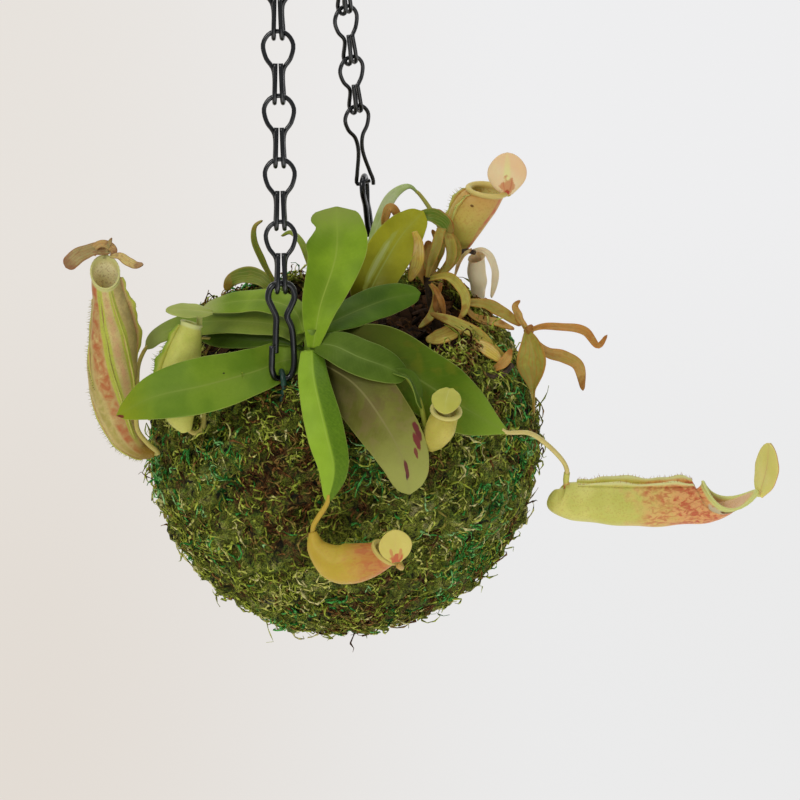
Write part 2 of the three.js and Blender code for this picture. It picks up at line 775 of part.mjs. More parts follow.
const PITCHERS = [
  {
    name: "pitcher_front",
    front: [-0.2, -0.35, 0.9],
    rings: [
      [-9.2, -73, 2.6, 1.3, 1.3, 0],
      [-8, -74.2, -2.2, 3.3, 3.1, 0],
      [-3.4, -76, -6.2, 5.8, 5.5, 0],
      [1.4, -77, -6.8, 6.5, 5.8, 0],
      [6.8, -77.4, -5.6, 5.7, 5.1, 6],
      [12.2, -77.4, -3.6, 4.7, 4, 28],
    ],
    wings: { from: 0.3, to: 0.94, height: 0.9 },
    lid: {
      neck: [[16.8, -79.4, -7.8], [15.9, -81.6, -6]],
      spine: [[15.4, -82.2, -4.4], [15.4, -82.6, 1.6], [15.2, -82.6, 6.4]],
      width: 4.9,
      face: [[0.1, -0.98, 0.2]],
    },
    colour: COLOURS.amber,
  },
  {
    name: "pitcher_small_right",
    front: [-0.4, -0.85, 0.2],
    rings: [
      [27.2, -62, 22.4, 1.2, 1.2, 0],
      [28.6, -62, 25, 3.2, 3.2, 0],
      [31, -61.6, 29, 4.1, 4, 0],
      [33, -61, 34, 4, 4, 25],
    ],
    lid: {
      neck: [[35, -57.2, 37], [34.6, -57.2, 39.4]],
      spine: [[34.4, -57.4, 39.8], [32.9, -62.2, 38.4], [32.2, -65.3, 35.4]],
      width: 4.1,
      face: [[0, -0.6, 0.8], [0, -0.7, 0.7]],
    },
    colour: COLOURS.pitcher,
  },
  {
    name: "pitcher_right",
    front: [0, 0, 1],
    rings: [
      [66.8, -37, -6.4, 1.6, 1.5, 0],
      [68.4, -37, -8.4, 4.2, 3.8, 0],
      [72.8, -37, -9.4, 5.6, 5.2, 0],
      [81, -37, -11, 6.8, 6.2, 0],
      [96, -37, -12.7, 7.2, 6.4, 0],
      [109, -37, -13.1, 6.9, 6, 8],
      [117, -37, -12.9, 7.3, 5.4, 25],
      [123.5, -37, -8.4, 8.9, 4.5, 41],
    ],
    floor: 0.22,
    saddle: 6,
    stub: [[71.2, -37.4, 0.6], [70.9, -37, -2.4], [71.2, -37, -6]],
    wings: { from: 0.32, to: 0.94, height: 2.2, angle: 0.25 },
    lid: {
      neck: [[132.9, -37, -11.6], [133.6, -37, -10.4]],
      spine: [[133, -37, -12], [135.2, -37, -3.1], [136.1, -37, 6.2]],
      width: 5.2,
      face: [[-0.85, -0.5, 0.2]],
    },
    colour: COLOURS.pitcher,
  },
  {
    name: "pitcher_back",
    front: [-0.8, -0.2, 0.55],
    rings: [
      [41, 18, 58, 1.6, 1.6, 0],
      [42, 18, 62, 4.4, 3.8, 0],
      [45, 18, 69, 6.4, 5.6, 0],
      [49, 18, 75.2, 7, 6.2, 8],
      [53, 18, 80, 7, 6, 30],
    ],
    wings: { from: 0.35, to: 0.95, height: 1.1 },
    lid: {
      neck: [[59.8, 17.6, 78], [59.8, 16, 80.4]],
      spine: [[59.2, 15.8, 79.2], [59.4, 15, 85.4], [59.6, 15.4, 92.4]],
      width: 6.5,
      face: [[0, -0.97, 0.22]],
      cup: -0.1,
    },
    colour: COLOURS.pitcher,
  },
  {
    name: "pitcher_small_left",
    front: [-0.8, -0.58, 0.1],
    rings: [
      [-47.4, -43.6, 26, 1.8, 1.8, 0],
      [-48.6, -43.6, 31, 4.6, 4.4, 0],
      [-48.6, -42, 40, 6, 5.8, 0],
      [-46.6, -39.6, 50, 5.6, 5.4, 5],
      [-44.6, -38, 58, 3.8, 3.6, 28],
    ],
    wings: { from: 0.4, to: 0.95, height: 1.2 },
    lid: {
      neck: [[-41, -35.6, 60.4], [-41.8, -36.4, 62.2]],
      spine: [[-37.4, -36.4, 61.6], [-44, -38, 63], [-51.4, -39.4, 63.8]],
      width: 3.7,
      face: [[0, -0.3, 0.95]],
    },
    colour: COLOURS.pitcher,
  },
  {
    name: "pitcher_left",
    front: [0.15, -1, 0],
    rings: [
      [-61.2, -34.6, 15, 1.3, 1.3, 0],
      [-65.6, -34, 16.2, 2.9, 2.9, 0],
      [-69.6, -32.4, 21.6, 4.7, 4.8, 0],
      [-71.4, -30.4, 31, 6.3, 6.5, 0],
      [-71, -28.4, 43, 7.4, 7.8, 0],
      [-70, -27, 55, 6.6, 6.8, 0],
      [-69.4, -26.6, 65, 5.6, 5, 12],
      [-69, -27, 72.6, 5.8, 4.3, 42],
    ],
    floor: 0.3,
    wings: { from: 0.22, to: 0.96, height: 1.2 },
    lid: {
      neck: [[-69, -22.4, 77.4], [-69, -22.2, 79]],
      spine: [[-80, -23, 75], [-75.4, -22, 78], [-69, -21.6, 79.2], [-63, -22, 78], [-57.6, -23, 75.4]],
      width: 2.3,
      face: [[0, -0.5, 0.85]],
    },
    colour: COLOURS.pitcher,
  },
];

// The side shoot: a bare stem with withered, curled leaves.
const SIDE_STEM = [
  [34, -2, 28],
  [33, -2, 40],
  [31.6, -1, 50],
  [31, 1, 57],
];
const SIDE_STEM_WIDTH = 1.5;
const SIDE_LEAVES = [
  [[[30.6, 1, 54], [27, 0, 63], [28, 0, 72]], 2.2],
  [[[30.6, 2, 55], [32, 6, 60], [32, 7, 67]], 2.6],
  [[[31, 2, 55], [34, 6, 59], [36, 8, 64], [33.5, 9, 70]], 1.6],
  [[[31, 1.6, 54.6], [37, 5, 57], [41, 8, 62], [39.4, 9, 67], [36, 9, 70]], 1.9],
  [[[31, 1, 55.6], [29, 8, 62], [29, 12, 69], [33, 13, 72.4], [37, 12, 73], [40, 11, 71]], 3],
  [[[31, 0, 56], [38, -3, 57], [42.4, -6, 52], [42.4, -9, 48], [40, -11, 45]], 1.7],
  [[[31.4, 0, 55], [33.4, -4, 52], [32, -8, 47], [27, -12, 43.4]], 1.5],
  [[[32.4, -7.2, 48], [39, -11, 45.4], [50, -15.4, 42.4], [58, -17, 36], [60, -17.6, 29]], 1.7],
  [[[40.6, -10.6, 45.4], [36, -14.4, 43.4], [28, -15, 43]], 2.8],
  [[[42.2, -7.6, 49.6], [49, -5, 47.6], [55, -6, 44.6], [60.4, -7.6, 40.6]], 2.1],
  [[[42.2, -8.6, 48.4], [46, -8, 44], [52, -8, 42.4], [58, -10, 40.4]], 1.5],
];
const DEAD_TWIG = [
  [39.6, 7, 60.4],
  [44, 11, 61.4],
  [47.4, 13.4, 59.8],
];

// A star of small leaves at the end of the side shoot.
const STAR_CENTRE = [62.8, -8.4, 40];
const STAR_LEAVES = [
  [[STAR_CENTRE, [59.6, -9.2, 45], [58.4, -9.2, 48.4], [61, -9.4, 50]], 1.3],
  [[STAR_CENTRE, [68, -10, 42.4], [74, -11, 42], [81, -12, 40], [86, -12, 35.4], [89, -12, 37.6]], 1.5],
  [[STAR_CENTRE, [63.6, -15, 33], [64.8, -17.4, 23.6], [64.6, -18.4, 14.4]], 3.9],
  [[STAR_CENTRE, [68, -6, 33.6], [74, -6, 29.6], [78, -7, 24.6], [79, -8, 16.6]], 1.8],
];

// A small curled shoot behind the others.
const BACK_SHOOT_STEMS = [
  [[-18, 19, 30], [-18.4, 18.6, 42], [-19, 19, 50]],
  [[-13, 8, 30], [-11, 6, 44], [-7, 3, 56]],
];
const BACK_SHOOT_WIDTH = 1.1;
const BACK_SHOOT_LEAVES = [
  [[[-19, 19.4, 48], [-23, 24, 55], [-29, 27, 57], [-35, 30, 54], [-38, 32, 49]], 3.6],
  [[[-19, 18.6, 48.6], [-24, 18, 61], [-26.4, 19, 67], [-25, 19, 73], [-21.6, 19, 75]], 1.4],
  [[[-7.4, 3.4, 54], [-7, 2, 62], [-9.6, 5, 70], [-13, 8, 72.4], [-16, 9, 71]], 1.3],
];

const smallLeaves = (list, across = 3) =>
  list.map(([spine, width], at) =>
    blade({
      spine,
      width,
      face: [[0.3 * Math.sin(at * 2.1), -0.8, 0.6], [0.3 * Math.cos(at * 1.3), -0.7, 0.7]],
      outline: "slender",
      cup: 0.25,
      across,
      stations: 5,
      thickness: 0.8,
    }),
  );

const sideShoot = () =>
  joined([
    stemSolid(SIDE_STEM, SIDE_STEM_WIDTH),
    stemSolid(DEAD_TWIG, 0.8, 0, 4, 5),
    ...smallLeaves(SIDE_LEAVES),
  ]);

const starOffshoot = () => {
  const heart = new THREE.IcosahedronGeometry(1.7, 1).translate(...STAR_CENTRE);
  return joined([solidOf(heart), ...smallLeaves(STAR_LEAVES)]);
};

const deadPitcher = () =>
  pitcherSolid({
    front: [-0.5, -0.85, 0],
    rings: [
      [48.6, 14.4, 43, 1.4, 1.2, 0],
      [48.6, 14.4, 47, 2.4, 2, 0],
      [48.4, 14.4, 52, 2.8, 2.3, 0],
      [48.2, 14.4, 57, 2.6, 2.2, 20],
    ],
    lid: {
      neck: [[49.8, 16.6, 59.6], [51.2, 16, 59.4]],
      spine: [[50.6, 16.4, 59.8], [54, 15, 57.6], [55, 14, 52]],
      width: 1.7,
      face: [[0.5, -0.7, 0.5]],
    },
  });

const backShoot = () =>
  joined([
    ...BACK_SHOOT_STEMS.map((list) => stemSolid(list, BACK_SHOOT_WIDTH, 0, 5)),
    ...smallLeaves(BACK_SHOOT_LEAVES),
  ]);

// Assembly

function mesh(name, geometry, colour, roughness, metalness = 0) {
  geometry.computeVertexNormals();
  const material = new THREE.MeshStandardMaterial({ color: colour, roughness, metalness });
  const piece = new THREE.Mesh(geometry, material);
  piece.name = name;
  return piece;
}

const ball = new THREE.Group();
ball.position.set(BALL_SHIFT, 0, -BALL_DROP);

// Grown pieces, each cut clear of those before it.
const grown = [];
function grow(name, make, colour) {
  let body = make(0);
  for (const earlier of grown) body = body.subtract(earlier);
  body = biggest(body);
  grown.push(make(CLEARANCE));
  ball.add(mesh(name, geometryOf(body), colour, 0.45));
}

const stems = [
  (extra) => stemSolid(MAIN_STEM, 2.1, extra, 6, 8),
  (extra) => stemSolid(BACK_STEM, 1.7, extra, 5, 8),
];
grow("stem_main", stems[0], COLOURS.stem);
grow("stem_back", stems[1], COLOURS.stem);
for (const leaf of LEAVES) grow(leaf.name, (extra) => leafSolid(leaf, extra), leaf.colour);
for (const pitcher of PITCHERS) {
  grow(pitcher.name, (extra) => pitcherSolid(pitcher, extra), pitcher.colour);
}
grow("side_shoot", sideShoot, COLOURS.withered);
grow("star_offshoot", starOffshoot, COLOURS.withered);
grow("dead_pitcher", deadPitcher, COLOURS.beige);
grow("back_shoot", backShoot, COLOURS.leaf);

const sling = slingSolid();
const slingRoom = slingSolid(CLEARANCE);
const holes = [
  ...stems.map((make) => make(CLEARANCE)),
  stemSolid(SIDE_STEM, SIDE_STEM_WIDTH, CLEARANCE),
  ...BACK_SHOOT_STEMS.map((list) => stemSolid(list, BACK_SHOOT_WIDTH, CLEARANCE, 5)),
  slingRoom,
];
const soil = holes.reduce((rest, hole) => rest.subtract(hole), soilSolid().add(barkChips()));
ball.add(mesh("soil_ball", geometryOf(biggest(soil)), COLOURS.soil, 0.95));
ball.add(mesh("sling_wire", geometryOf(sling), COLOURS.sling, 0.5));
const moss = biggest(mossSolid().subtract(slingRoom));
ball.add(mesh("moss_wrap", geometryOf(moss), COLOURS.moss, 0.95));

const seat = (way) => HOOK_POINT.clone().add(new THREE.Vector3(0, way * SEAT_SPREAD, EYE_SEAT));
ball.add(
  chain({
    side: "front",
    eye: FRONT_EYE,
    seat: seat(-1),
    twists: FRONT_TWISTS,
    clipTwist: FRONT_CLIP_TWIST,
    lowest: (pitch) => linkPoints(pitch, CLIP_HOLD),
    stretch: 0,
  }),
);
ball.add(
  chain({
    side: "back",
    eye: BACK_EYE,
    seat: seat(1),
    twists: BACK_TWISTS,
    clipTwist: BACK_CLIP_TWIST,
    lowest: barLinkPoints,
    stretch: BACK_STRETCH,
  }),
);

const hanging = new THREE.Group();
hanging.add(mesh("top_hook", hookSolid(), COLOURS.hook, 0.35, 0.6));
hanging.add(ball);

export default hanging;
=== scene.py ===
# The looks of a pitcher plant in a ball of moss that hangs from two wire chains.
# Places are in millimetres from the ball's centre, as in the part's source, until a mesh is made.
import math

import bpy
import numpy as np
from mathutils import Matrix


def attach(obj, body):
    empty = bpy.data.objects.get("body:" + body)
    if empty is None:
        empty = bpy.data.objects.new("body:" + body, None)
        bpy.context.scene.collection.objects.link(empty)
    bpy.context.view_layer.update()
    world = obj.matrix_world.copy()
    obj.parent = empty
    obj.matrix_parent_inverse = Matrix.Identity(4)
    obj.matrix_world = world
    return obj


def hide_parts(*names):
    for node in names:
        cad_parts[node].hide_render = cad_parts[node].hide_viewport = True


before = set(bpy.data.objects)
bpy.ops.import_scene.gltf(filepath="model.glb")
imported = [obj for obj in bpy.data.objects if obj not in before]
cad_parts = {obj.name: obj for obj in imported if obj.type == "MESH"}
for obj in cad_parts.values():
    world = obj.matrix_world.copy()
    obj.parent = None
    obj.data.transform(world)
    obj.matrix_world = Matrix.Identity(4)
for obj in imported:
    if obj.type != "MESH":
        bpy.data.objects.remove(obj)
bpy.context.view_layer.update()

scene = bpy.context.scene
MM = 0.001
BALL_CENTRE = np.array([-2.5, 0.0, -376.0])
BALL_RADIUS = 65.0
MOSS_RELIEF = 0.9
RIM_HEIGHT = 41.0
RIM_SLOPE = 0.06
MOSS_THICKNESS = 5.0
SOIL_DEPTH = 3.2
SOIL_GAP = 0.3

HOOK_WIRE = 1.5
HOOK_UPPER_BEND = 9.0
HOOK_LOWER_BEND = 6.5
HOOK_LENGTH = 50.0
CHAIN_WIRE = 0.7
LINKS = 14
BACK_STRETCH = 9.0
CLIP_WIRE = 1.0
CLIP_HEIGHT = 29.6
SLING_WIRE = 0.9
SLING_EYE = 2.7
LEAF_THICKNESS = 0.7
TENDRIL = 0.75
SMALL_LEAF_THICKNESS = 0.8
PITCHER_WALL = 0.8
LID_NECK = 0.85
HAIR_RADIUS = 0.12

FRONT_EYE = np.array([-16.0, -46.0, 42.0])
BACK_EYE = np.array([12.8, 48.0, 50.8])
FRONT_CLIP_TWIST = 10.0
BACK_CLIP_TWIST = 80.0

UP = np.array([0.0, 0.0, 1.0])

# The camera looks down at the ball and is rolled a little.
ELEVATION = math.radians(22)
ROLL = math.radians(3.6)
RIGHT = np.array([1.0, 0.0, 0.0])
TILTED_UP = np.array([0.0, math.sin(ELEVATION), math.cos(ELEVATION)])
VIEW_RIGHT = RIGHT * math.cos(ROLL) - TILTED_UP * math.sin(ROLL)
VIEW_UP = RIGHT * math.sin(ROLL) + TILTED_UP * math.cos(ROLL)
VIEW_BACK = np.array([0.0, -math.cos(ELEVATION), math.sin(ELEVATION)])


# Small sums on points

def unit(way):
    return way / np.maximum(np.linalg.norm(way, axis=-1, keepdims=True), 1e-9)


def waves(points, size, seed, count=7):
    """A smooth field from about -1 to 1 that changes over the size, from turned sine waves."""
    rng = np.random.default_rng(seed)
    total = np.zeros(points.shape[:-1])
    for _ in range(count):
        way = unit(rng.normal(size=3)) * 2 * math.pi / size * rng.uniform(0.6, 1.5)
        total += np.sin(points @ way + rng.uniform(0, 2 * math.pi))
    return total / math.sqrt(count)


def smooth_step(value, low, high):
    share = np.clip((value - low) / (high - low), 0, 1)
    return share * share * (3 - 2 * share)


def between(rows, t, column=1):
    """The value at t of a list of [t, value, value...] rows, eased through each row."""
    table = np.array(rows, float)
    at, value = table[:, 0], table[:, column]
    slope = np.gradient(value, at)
    t = np.clip(t, at[0], at[-1])
    low = np.clip(np.searchsorted(at, t, side="right") - 1, 0, len(at) - 2)
    width = at[low + 1] - at[low]
    s = (t - at[low]) / width
    start = (2 * s**3 - 3 * s**2 + 1) * value[low] + (s**3 - 2 * s**2 + s) * slope[low] * width
    return start + (3 * s**2 - 2 * s**3) * value[low + 1] + (s**3 - s**2) * slope[low + 1] * width


def curve_at(points, t):
    """Points at the shares t of a centripetal Catmull-Rom curve through the given ones."""
    given = np.array(points, float)
    ends = [2 * given[0] - given[1], 2 * given[-1] - given[-2]]
    given = np.vstack([ends[0], given, ends[1]])
    place = np.clip(np.asarray(t, float), 0, 1) * (len(given) - 3)
    low = np.minimum(place.astype(int), len(given) - 4)
    w = (place - low)[:, None]
    p0, p1, p2, p3 = (given[low + k] for k in range(4))
    d0, d1, d2 = (
        np.maximum(np.linalg.norm(b - a, axis=1, keepdims=True), 1e-4) ** 0.5
        for a, b in ((p0, p1), (p1, p2), (p2, p3))
    )
    t1 = ((p1 - p0) / d0 - (p2 - p0) / (d0 + d1) + (p2 - p1) / d1) * d1
    t2 = ((p2 - p1) / d1 - (p3 - p1) / (d1 + d2) + (p3 - p2) / d2) * d1
    return p1 + t1 * w + (3 * (p2 - p1) - 2 * t1 - t2) * w**2 + (2 * (p1 - p2) + t1 + t2) * w**3


def even_curve(points, count):
    """As many points at even distances along the curve, and their tangents."""
    fine = curve_at(points, np.linspace(0, 1, 600))
    run = np.concatenate([[0], np.cumsum(np.linalg.norm(np.diff(fine, axis=0), axis=1))])
    at = np.linspace(0, run[-1], count)
    places = np.stack([np.interp(at, run, fine[:, k]) for k in range(3)], axis=1)
    return places, unit(np.gradient(places, axis=0))


# Meshes

class Shape:
    """Points in mm from the ball's centre, faces, and a number per point under each name."""

    def __init__(self, points, faces, **numbers):
        self.points = np.asarray(points, float).reshape(-1, 3)
        self.faces = faces
        self.numbers = {
            name: np.broadcast_to(np.asarray(value, float), len(self.points)).copy()
            for name, value in numbers.items()
        }

    def __add__(self, other):
        return joined([self, other])


def joined(shapes):
    """All the shapes as one, made in one step so that many small ones stay quick."""
    names = sorted({name for shape in shapes for name in shape.numbers})
    faces, count = [], 0
    for shape in shapes:
        faces += [tuple(corner + count for corner in face) for face in shape.faces]
        count += len(shape.points)
    numbers = {
        name: np.concatenate(
            [shape.numbers.get(name, np.zeros(len(shape.points))) for shape in shapes]
        )
        for name in names
    }
    return Shape(np.vstack([shape.points for shape in shapes]), faces, **numbers)


def ring_quads(rows, columns):
    """Quads between rings of equally many points."""
    at = np.arange(columns)
    one = np.stack([at, (at + 1) % columns, (at + 1) % columns + columns, at + columns], axis=1)
    return (one[None] + (np.arange(rows - 1) * columns)[:, None, None]).reshape(-1, 4)


def rings_shape(rings, **numbers):
    """A closed body through rings of points, flat at both ends. Numbers are given per ring."""
    rings = np.asarray(rings, float)
    rows, columns = rings.shape[:2]
    quads = ring_quads(rows, columns)
    points = rings.reshape(-1, 3)
    a, b, c, d = (points[quads[:, k]] - points.mean(axis=0) for k in range(4))
    volume = np.sum(a * np.cross(b, c)) + np.sum(a * np.cross(c, d))
    first = list(range(columns))
    last = [(rows - 1) * columns + at for at in first]
    if volume < 0:
        quads, last = quads[:, ::-1], last[::-1]
    else:
        first = first[::-1]
    faces = [*map(tuple, quads.tolist()), tuple(first), tuple(last)]
    spread = {name: np.repeat(np.asarray(value), columns) for name, value in numbers.items()}
    return Shape(points, faces, **spread)


def make(name, shape, look, slot, *replaced, smooth=True):
    """Makes the piece from its shape and hides the solids that it stands for."""
    mesh = bpy.data.meshes.new(name)
    points = (shape.points + BALL_CENTRE) * MM
    mesh.from_pydata(points.tolist(), [], shape.faces)
    for number, values in shape.numbers.items():
        layer = mesh.attributes.new(number, "FLOAT", "POINT")
        layer.data.foreach_set("value", values.astype(np.float32))
    mesh.polygons.foreach_set("use_smooth", np.full(len(mesh.polygons), smooth))
    mesh.validate()
    mesh.update()
    mesh.materials.append(look)
    piece = bpy.data.objects.new(name, mesh)
    scene.collection.objects.link(piece)
    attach(piece, "root")
    if replaced:
        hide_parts(*replaced)


def tube(points, radius, sides=10, samples=8, **numbers):
    """A round wire or stem through the points. radius is a number or [share, radius] rows."""
    count = (len(points) - 1) * samples + 1
    places, tangents = even_curve(points, count)
    share = np.linspace(0, 1, count)
    width = between(radius, share) if isinstance(radius, list) else np.full(count, radius)
    angles = np.arange(sides) / sides * 2 * math.pi
    across = unit(np.cross(np.array([0.31, 0.52, 0.79]), tangents[0]))
    rings = []
    for place, tangent, r in zip(places, tangents, width):
        across = unit(across - tangent * (across @ tangent))
        other = np.cross(tangent, across)
        ring = np.outer(np.cos(angles), across) + np.outer(np.sin(angles), other)
        rings.append(place + r * ring)
    return rings_shape(rings, along=share, **{k: np.full(count, v) for k, v in numbers.items()})


# Leaf outlines: [share of the length, half width], 1 being the widest. A third number is the half
# width on the other side.
OUTLINES = {
    "strap": [
        [0, 0.2], [0.12, 0.24], [0.3, 0.62], [0.5, 0.92], [0.66, 1], [0.82, 0.86], [0.93, 0.5],
        [1, 0.12],
    ],
    "waisted": [
        [0, 0.18], [0.1, 0.34], [0.3, 0.6], [0.6, 0.88], [0.74, 1], [0.82, 0.8, 0.96],
        [0.86, 0.7, 0.9], [0.91, 0.86, 0.82], [0.97, 0.66, 0.6], [1, 0.3],
    ],
    "broad": [
        [0, 0.5], [0.12, 0.72], [0.3, 0.94], [0.5, 1], [0.7, 0.95], [0.88, 0.68], [0.96, 0.42],
        [1, 0.15],
    ],
    "full": [[0, 0.7], [0.2, 0.8], [0.5, 0.9], [0.8, 1], [0.94, 0.8], [1, 0.4]],
    "lance": [
        [0, 0.6], [0.14, 0.8], [0.32, 1], [0.52, 1], [0.68, 0.96, 0.88], [0.82, 0.84, 0.72],
        [0.93, 0.6, 0.5], [1, 0.24],
    ],
    "pointed": [
        [0, 0.5], [0.12, 0.72], [0.3, 0.94], [0.5, 1], [0.66, 0.94], [0.8, 0.7], [0.9, 0.38],
        [0.96, 0.18], [1, 0.08],
    ],
    "spear": [
        [0, 0.14], [0.1, 0.44], [0.28, 0.92], [0.4, 1], [0.52, 0.8], [0.62, 0.46], [0.7, 0.2],
        [0.8, 0.12], [1, 0.1],
    ],
    "tongue": [
        [0, 0.6], [0.12, 0.74], [0.3, 0.88], [0.5, 1], [0.68, 0.94], [0.84, 0.68], [0.94, 0.36],
        [1, 0.12],
    ],
    "slender": [[0, 0.45], [0.25, 0.75], [0.55, 1], [0.8, 0.8], [1, 0.3]],
    "oval": [[0, 0.3], [0.2, 0.75], [0.45, 1], [0.75, 0.85], [0.92, 0.5], [1, 0.2]],
}
TIP_ROUND = 0.03
TIP_NARROWING = 0.97
# The share of a blade's thickness at its edge, the depth of its midrib below for each mm of groove
# above, the share of the lift's arch that it starts with, and the waves of its ripple.
EDGE_SHARE = 0.35
RIB_BELOW = 1.6
LIFT_START = 0.15
RIPPLES = 2.6


def blade(spine, width, face, outline="strap", cup=0.0, fold=0.0, ripple=0.0, seed=1,
          thickness=LEAF_THICKNESS, rib=0.3, rows=60, columns=17, tone=0.0):
    """A thin arched blade along a spine, with a sunk midrib above and a raised one below.

    Its upper face looks along face[0] at the base and face[-1] at the tip. cup lifts both edges in
    a curve, fold lifts them straight, and ripple waves them.
    """
    centre, tangent = even_curve(spine, rows)
    t = np.linspace(0, 1, rows)
    faces_up = np.outer(1 - t, face[0]) + np.outer(t, face[-1])
    up = unit(faces_up - tangent * np.sum(faces_up * tangent, axis=1, keepdims=True))
    side = np.cross(up, tangent)
    s = np.sin(np.linspace(-1, 1, columns) * math.pi / 2)[None, ::-1]
    both = [[at, given[0], given[-1]] for at, *given in OUTLINES[outline]]
    halves = [between(both, t, column)[:, None] * width for column in (1, 2)]
    round_off = np.sqrt(1 - TIP_NARROWING * smooth_step(t, 1 - TIP_ROUND, 1))[:, None]
    half = np.where(s > 0, halves[0], halves[1]) * round_off
    reach = np.sin(math.pi * np.minimum(t + LIFT_START, 1))[:, None]
    lift = cup * width * s**2 * reach + fold * width * np.abs(s) * reach
    phase = 2 * math.pi * (t[:, None] * RIPPLES + 0.17 * seed)
    lift = lift + ripple * s**2 * reach * np.sin(phase + 1.7 * np.sign(s) + 0.8 * s)
    groove = np.exp(-((s * half / (0.35 + 0.06 * width)) ** 2)) * rib
    body = thickness / 2 * (EDGE_SHARE + (1 - EDGE_SHARE) * np.sqrt(np.maximum(1 - s**4, 0)))
    top = lift + body - groove * (1 - t[:, None])
    under = lift - body - RIB_BELOW * groove * (1 - 0.7 * t[:, None])

    def sheet(height):
        return (
            centre[:, None, :]
            + side[:, None, :] * (half * s)[..., None]
            + up[:, None, :] * np.broadcast_to(height, half.shape)[..., None]
        )

    ring = np.concatenate([sheet(top), sheet(under)[:, ::-1]], axis=1)
    flat = np.broadcast_to(s, (rows, columns))
    shape = rings_shape(ring, along=t)
    shape.numbers["across"] = np.concatenate([flat, flat[:, ::-1]], axis=1).ravel()
    shape.numbers["under"] = np.tile(np.repeat([0.0, 1.0], columns), rows)
    shape.numbers["tone"] = np.full(len(shape.points), tone)
    return shape


FOLD_WIDTH = 2.3
FOLD_FACE = [[0.8, -0.6, 0.5], [0.9, -0.5, 0.2]]
TENDRIL_TAPER = [[0, TENDRIL * 0.8], [0.25, TENDRIL], [1, TENDRIL]]


def leaf_shape(leaf):
    """A blade from the table of leaves, with a folded tip and a tendril if it has them."""
    keys = {"outline", "cup", "fold", "ripple", "seed"} & leaf.keys()
    shape = blade(leaf["spine"], leaf["width"], leaf["face"], **{key: leaf[key] for key in keys})
    if "folded" in leaf:
        shape = shape + blade(leaf["folded"], FOLD_WIDTH, FOLD_FACE, "slender", fold=0.5, rows=30)
    if "tendril" in leaf:
        before, tip = np.array(leaf["spine"][-2:], float)
        route = [tip * 0.75 + before * 0.25, tip, *leaf["tendril"]]
        shape = shape + tube(route, TENDRIL_TAPER, tendril=1.0)
    return shape


def hairs(roots, ways, lengths):
    """A three-sided bristle at each root."""
    shapes = []
    for root, way, length in zip(roots, unit(np.asarray(ways)), lengths):
        across = unit(np.cross(way, [0.3, 0.5, 0.8]))
        other = np.cross(way, across)
        base = [math.cos(a) * across + math.sin(a) * other for a in (0, 2.1, 4.2)]
        points = [*(root + HAIR_RADIUS * corner for corner in base), root + way * length]
        faces = [(0, 1, 3), (1, 2, 3), (2, 0, 3), (2, 1, 0)]
        shapes.append(Shape(points, faces, hair=1.0, along=0.5))
    return joined(shapes)


SADDLE_START = 0.8
NO_TWIST = [[0, 0], [1, 0]]
SMALL_STEP = 0.002


class Wall:
    """The wall of a pitcher through rings of [x, y, z, half width to the front, across, tilt].

    saddle is how far the mouth's sides dip below its front and back. twist turns its ribs and
    markings about it: [t, angle].
    """

    def __init__(self, rings, front, saddle=0.0, twist=NO_TWIST):
        self.saddle = saddle
        self.twist = twist
        self.centres = [ring[:3] for ring in rings]
        self.rows = [[at / (len(rings) - 1), *ring[3:]] for at, ring in enumerate(rings)]
        self.front = np.array(front, float)

    def width(self, t):
        return between(self.rows, t, 2)

    def point(self, t, angle, offset=0.0, rise=0.0):
        """At t along the wall and at an angle from its front, offset outwards and raised."""
        t, angle, offset, rise = np.broadcast_arrays(t, angle, offset, rise)
        shape, t = t.shape, t.ravel()
        angle, offset, rise = (each.ravel()[:, None] for each in (angle, offset, rise))
        centre = curve_at(self.centres, t)
        ahead, behind = (curve_at(self.centres, t + step) for step in (SMALL_STEP, -SMALL_STEP))
        tangent = unit(ahead - behind)
        front = unit(self.front - tangent * (tangent @ self.front)[:, None])
        across = np.cross(tangent, front)
        tilt = np.radians(between(self.rows, t, 3))[:, None]
        slanted = front * np.cos(tilt) - tangent * np.sin(tilt)
        normal = tangent * np.cos(tilt) + front * np.sin(tilt)
        half = between(self.rows, t, 1)[:, None] + offset
        wide = between(self.rows, t, 2)[:, None] + offset
        placed = centre + slanted * half * np.cos(angle) + across * wide * np.sin(angle)
        dip = self.saddle * np.sin(angle) ** 2 * smooth_step(t, SADDLE_START, 1)[:, None]
        return (placed + normal * (rise - dip)).reshape(*shape, 3)


# The lip's section, rolled outwards and over: [t, offset, rise].
LIP_START = 0.97
LIP_RIBS = 28
LIP_RIB_HEIGHT = 0.05
LIP = [
    [0.985, 0.1, 0], [1, 0.35, -0.1], [1, 0.62, 0.15], [1, 0.6, 0.5], [1, 0.3, 0.75],
    [1, -0.1, 0.72], [1, -0.45, 0.45], [1, -0.7, 0.1],
]


